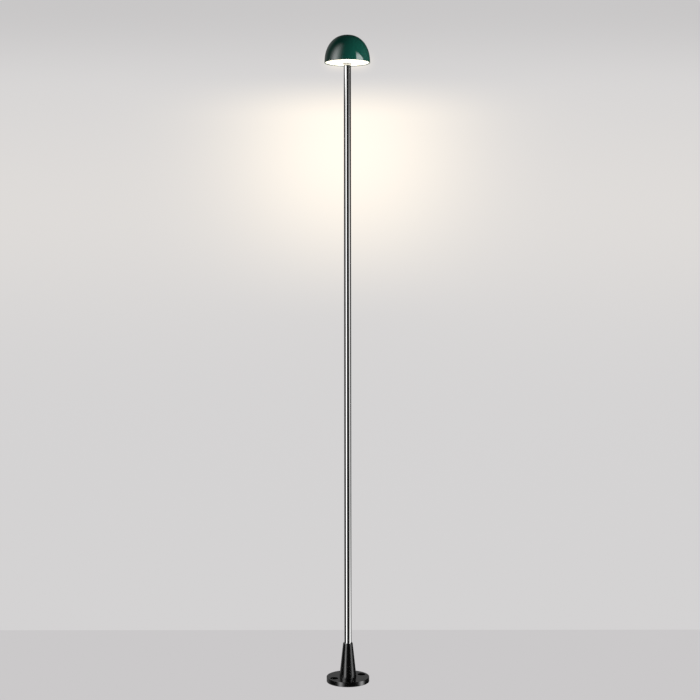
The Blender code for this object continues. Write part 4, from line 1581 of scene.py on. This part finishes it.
    def lobe_value(
        self,
        sketch: Sketch,
        lobe: Lobe,
        azimuth: bpy.types.NodeSocket,
        elevation: bpy.types.NodeSocket,
    ) -> bpy.types.NodeSocket:
        """Draws the brightness of a lobe: a bell across, and a fade at its lower and upper end.

        Args:
            sketch: Where the nodes are drawn.
            lobe: The lobe.
            azimuth: The direction's azimuth in degrees.
            elevation: The direction's elevation in degrees.

        Returns:
            The output that holds the brightness.
        """
        middle = sketch.math("MULTIPLY_ADD", elevation, lobe.lean, lobe.azimuth)
        away = sketch.math("ABSOLUTE", sketch.math("SUBTRACT", azimuth, middle))
        away = sketch.math("MINIMUM", away, sketch.math("SUBTRACT", 360.0, away))
        bell = self.bell(sketch, away, 0.0, lobe.width)
        upper = sketch.remap(elevation, lobe.top[0], lobe.top[1], 1.0, 0.0)
        lower = sketch.remap(elevation, lobe.bottom[0], lobe.bottom[1], 0.0, 1.0)
        ends = sketch.math("MULTIPLY", upper, lower)
        return sketch.math("MULTIPLY", sketch.math("MULTIPLY", bell, ends), lobe.level)

    def pane_value(
        self,
        sketch: Sketch,
        azimuth: bpy.types.NodeSocket,
        elevation: bpy.types.NodeSocket,
    ) -> bpy.types.NodeSocket:
        """Draws the brightness of the pane.

        Args:
            sketch: Where the nodes are drawn.
            azimuth: The direction's azimuth in degrees.
            elevation: The direction's elevation in degrees.

        Returns:
            The output that holds the brightness.
        """
        pane = self.pane
        upright = sketch.remap(azimuth, *pane.upright, 0.0, 1.0)
        slant = sketch.remap(sketch.math("MULTIPLY_ADD", elevation, pane.lean, azimuth), *pane.slant, 1.0, 0.0)
        sill = sketch.remap(elevation, *pane.sill, 0.0, pane.level)
        fade = sketch.remap(elevation, *pane.fade, 1.0, 0.0)
        shape = sketch.math("MULTIPLY", upright, slant)
        return sketch.math("MULTIPLY", sketch.math("MULTIPLY", shape, sill), fade)

    def build_lights(self) -> None:
        """Builds the key light, low on the right and aimed at the head, which glossy surfaces don't mirror."""
        light = bpy.data.lights.new("key", "AREA")
        light.size = self.key_size
        light.energy = self.key_power
        light.spread = math.radians(self.key_spread)
        lamp = bpy.data.objects.new("key", light)
        bpy.context.scene.collection.objects.link(lamp)
        lamp.location = self.key_spot
        lamp.rotation_mode = "QUATERNION"
        aim = Vector((0.0, 0.0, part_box("shade_dome")[0][2])) - Vector(self.key_spot)
        lamp.rotation_quaternion = aim.to_track_quat("-Z", "Y")
        lamp.visible_glossy = False

    def build_camera(self) -> None:
        """Sets the camera, aimed a little below level."""
        lens = bpy.data.cameras.new("camera")
        lens.sensor_width = self.viewpoint.sensor
        lens.lens = self.viewpoint.lens
        lens.clip_end = 100.0
        camera = bpy.data.objects.new("camera", lens)
        bpy.context.scene.collection.objects.link(camera)
        camera.location = self.viewpoint.place
        camera.rotation_euler = (math.pi / 2 - self.viewpoint.dip, self.viewpoint.roll, 0)
        bpy.context.scene.camera = camera


def main() -> None:
    """Builds the light piece by piece, then the studio."""
    logging.basicConfig(level=logging.INFO, format="%(name)s: %(message)s")
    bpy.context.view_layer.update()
    shop = Workshop()
    Shade().build(shop)
    LightSource().build(shop)
    Pole().build(shop)
    Base().build(shop)
    Gland().build(shop)
    dress_carried_over()
    Studio().build()
    bpy.context.view_layer.update()


if __name__ == "__main__":
    main()
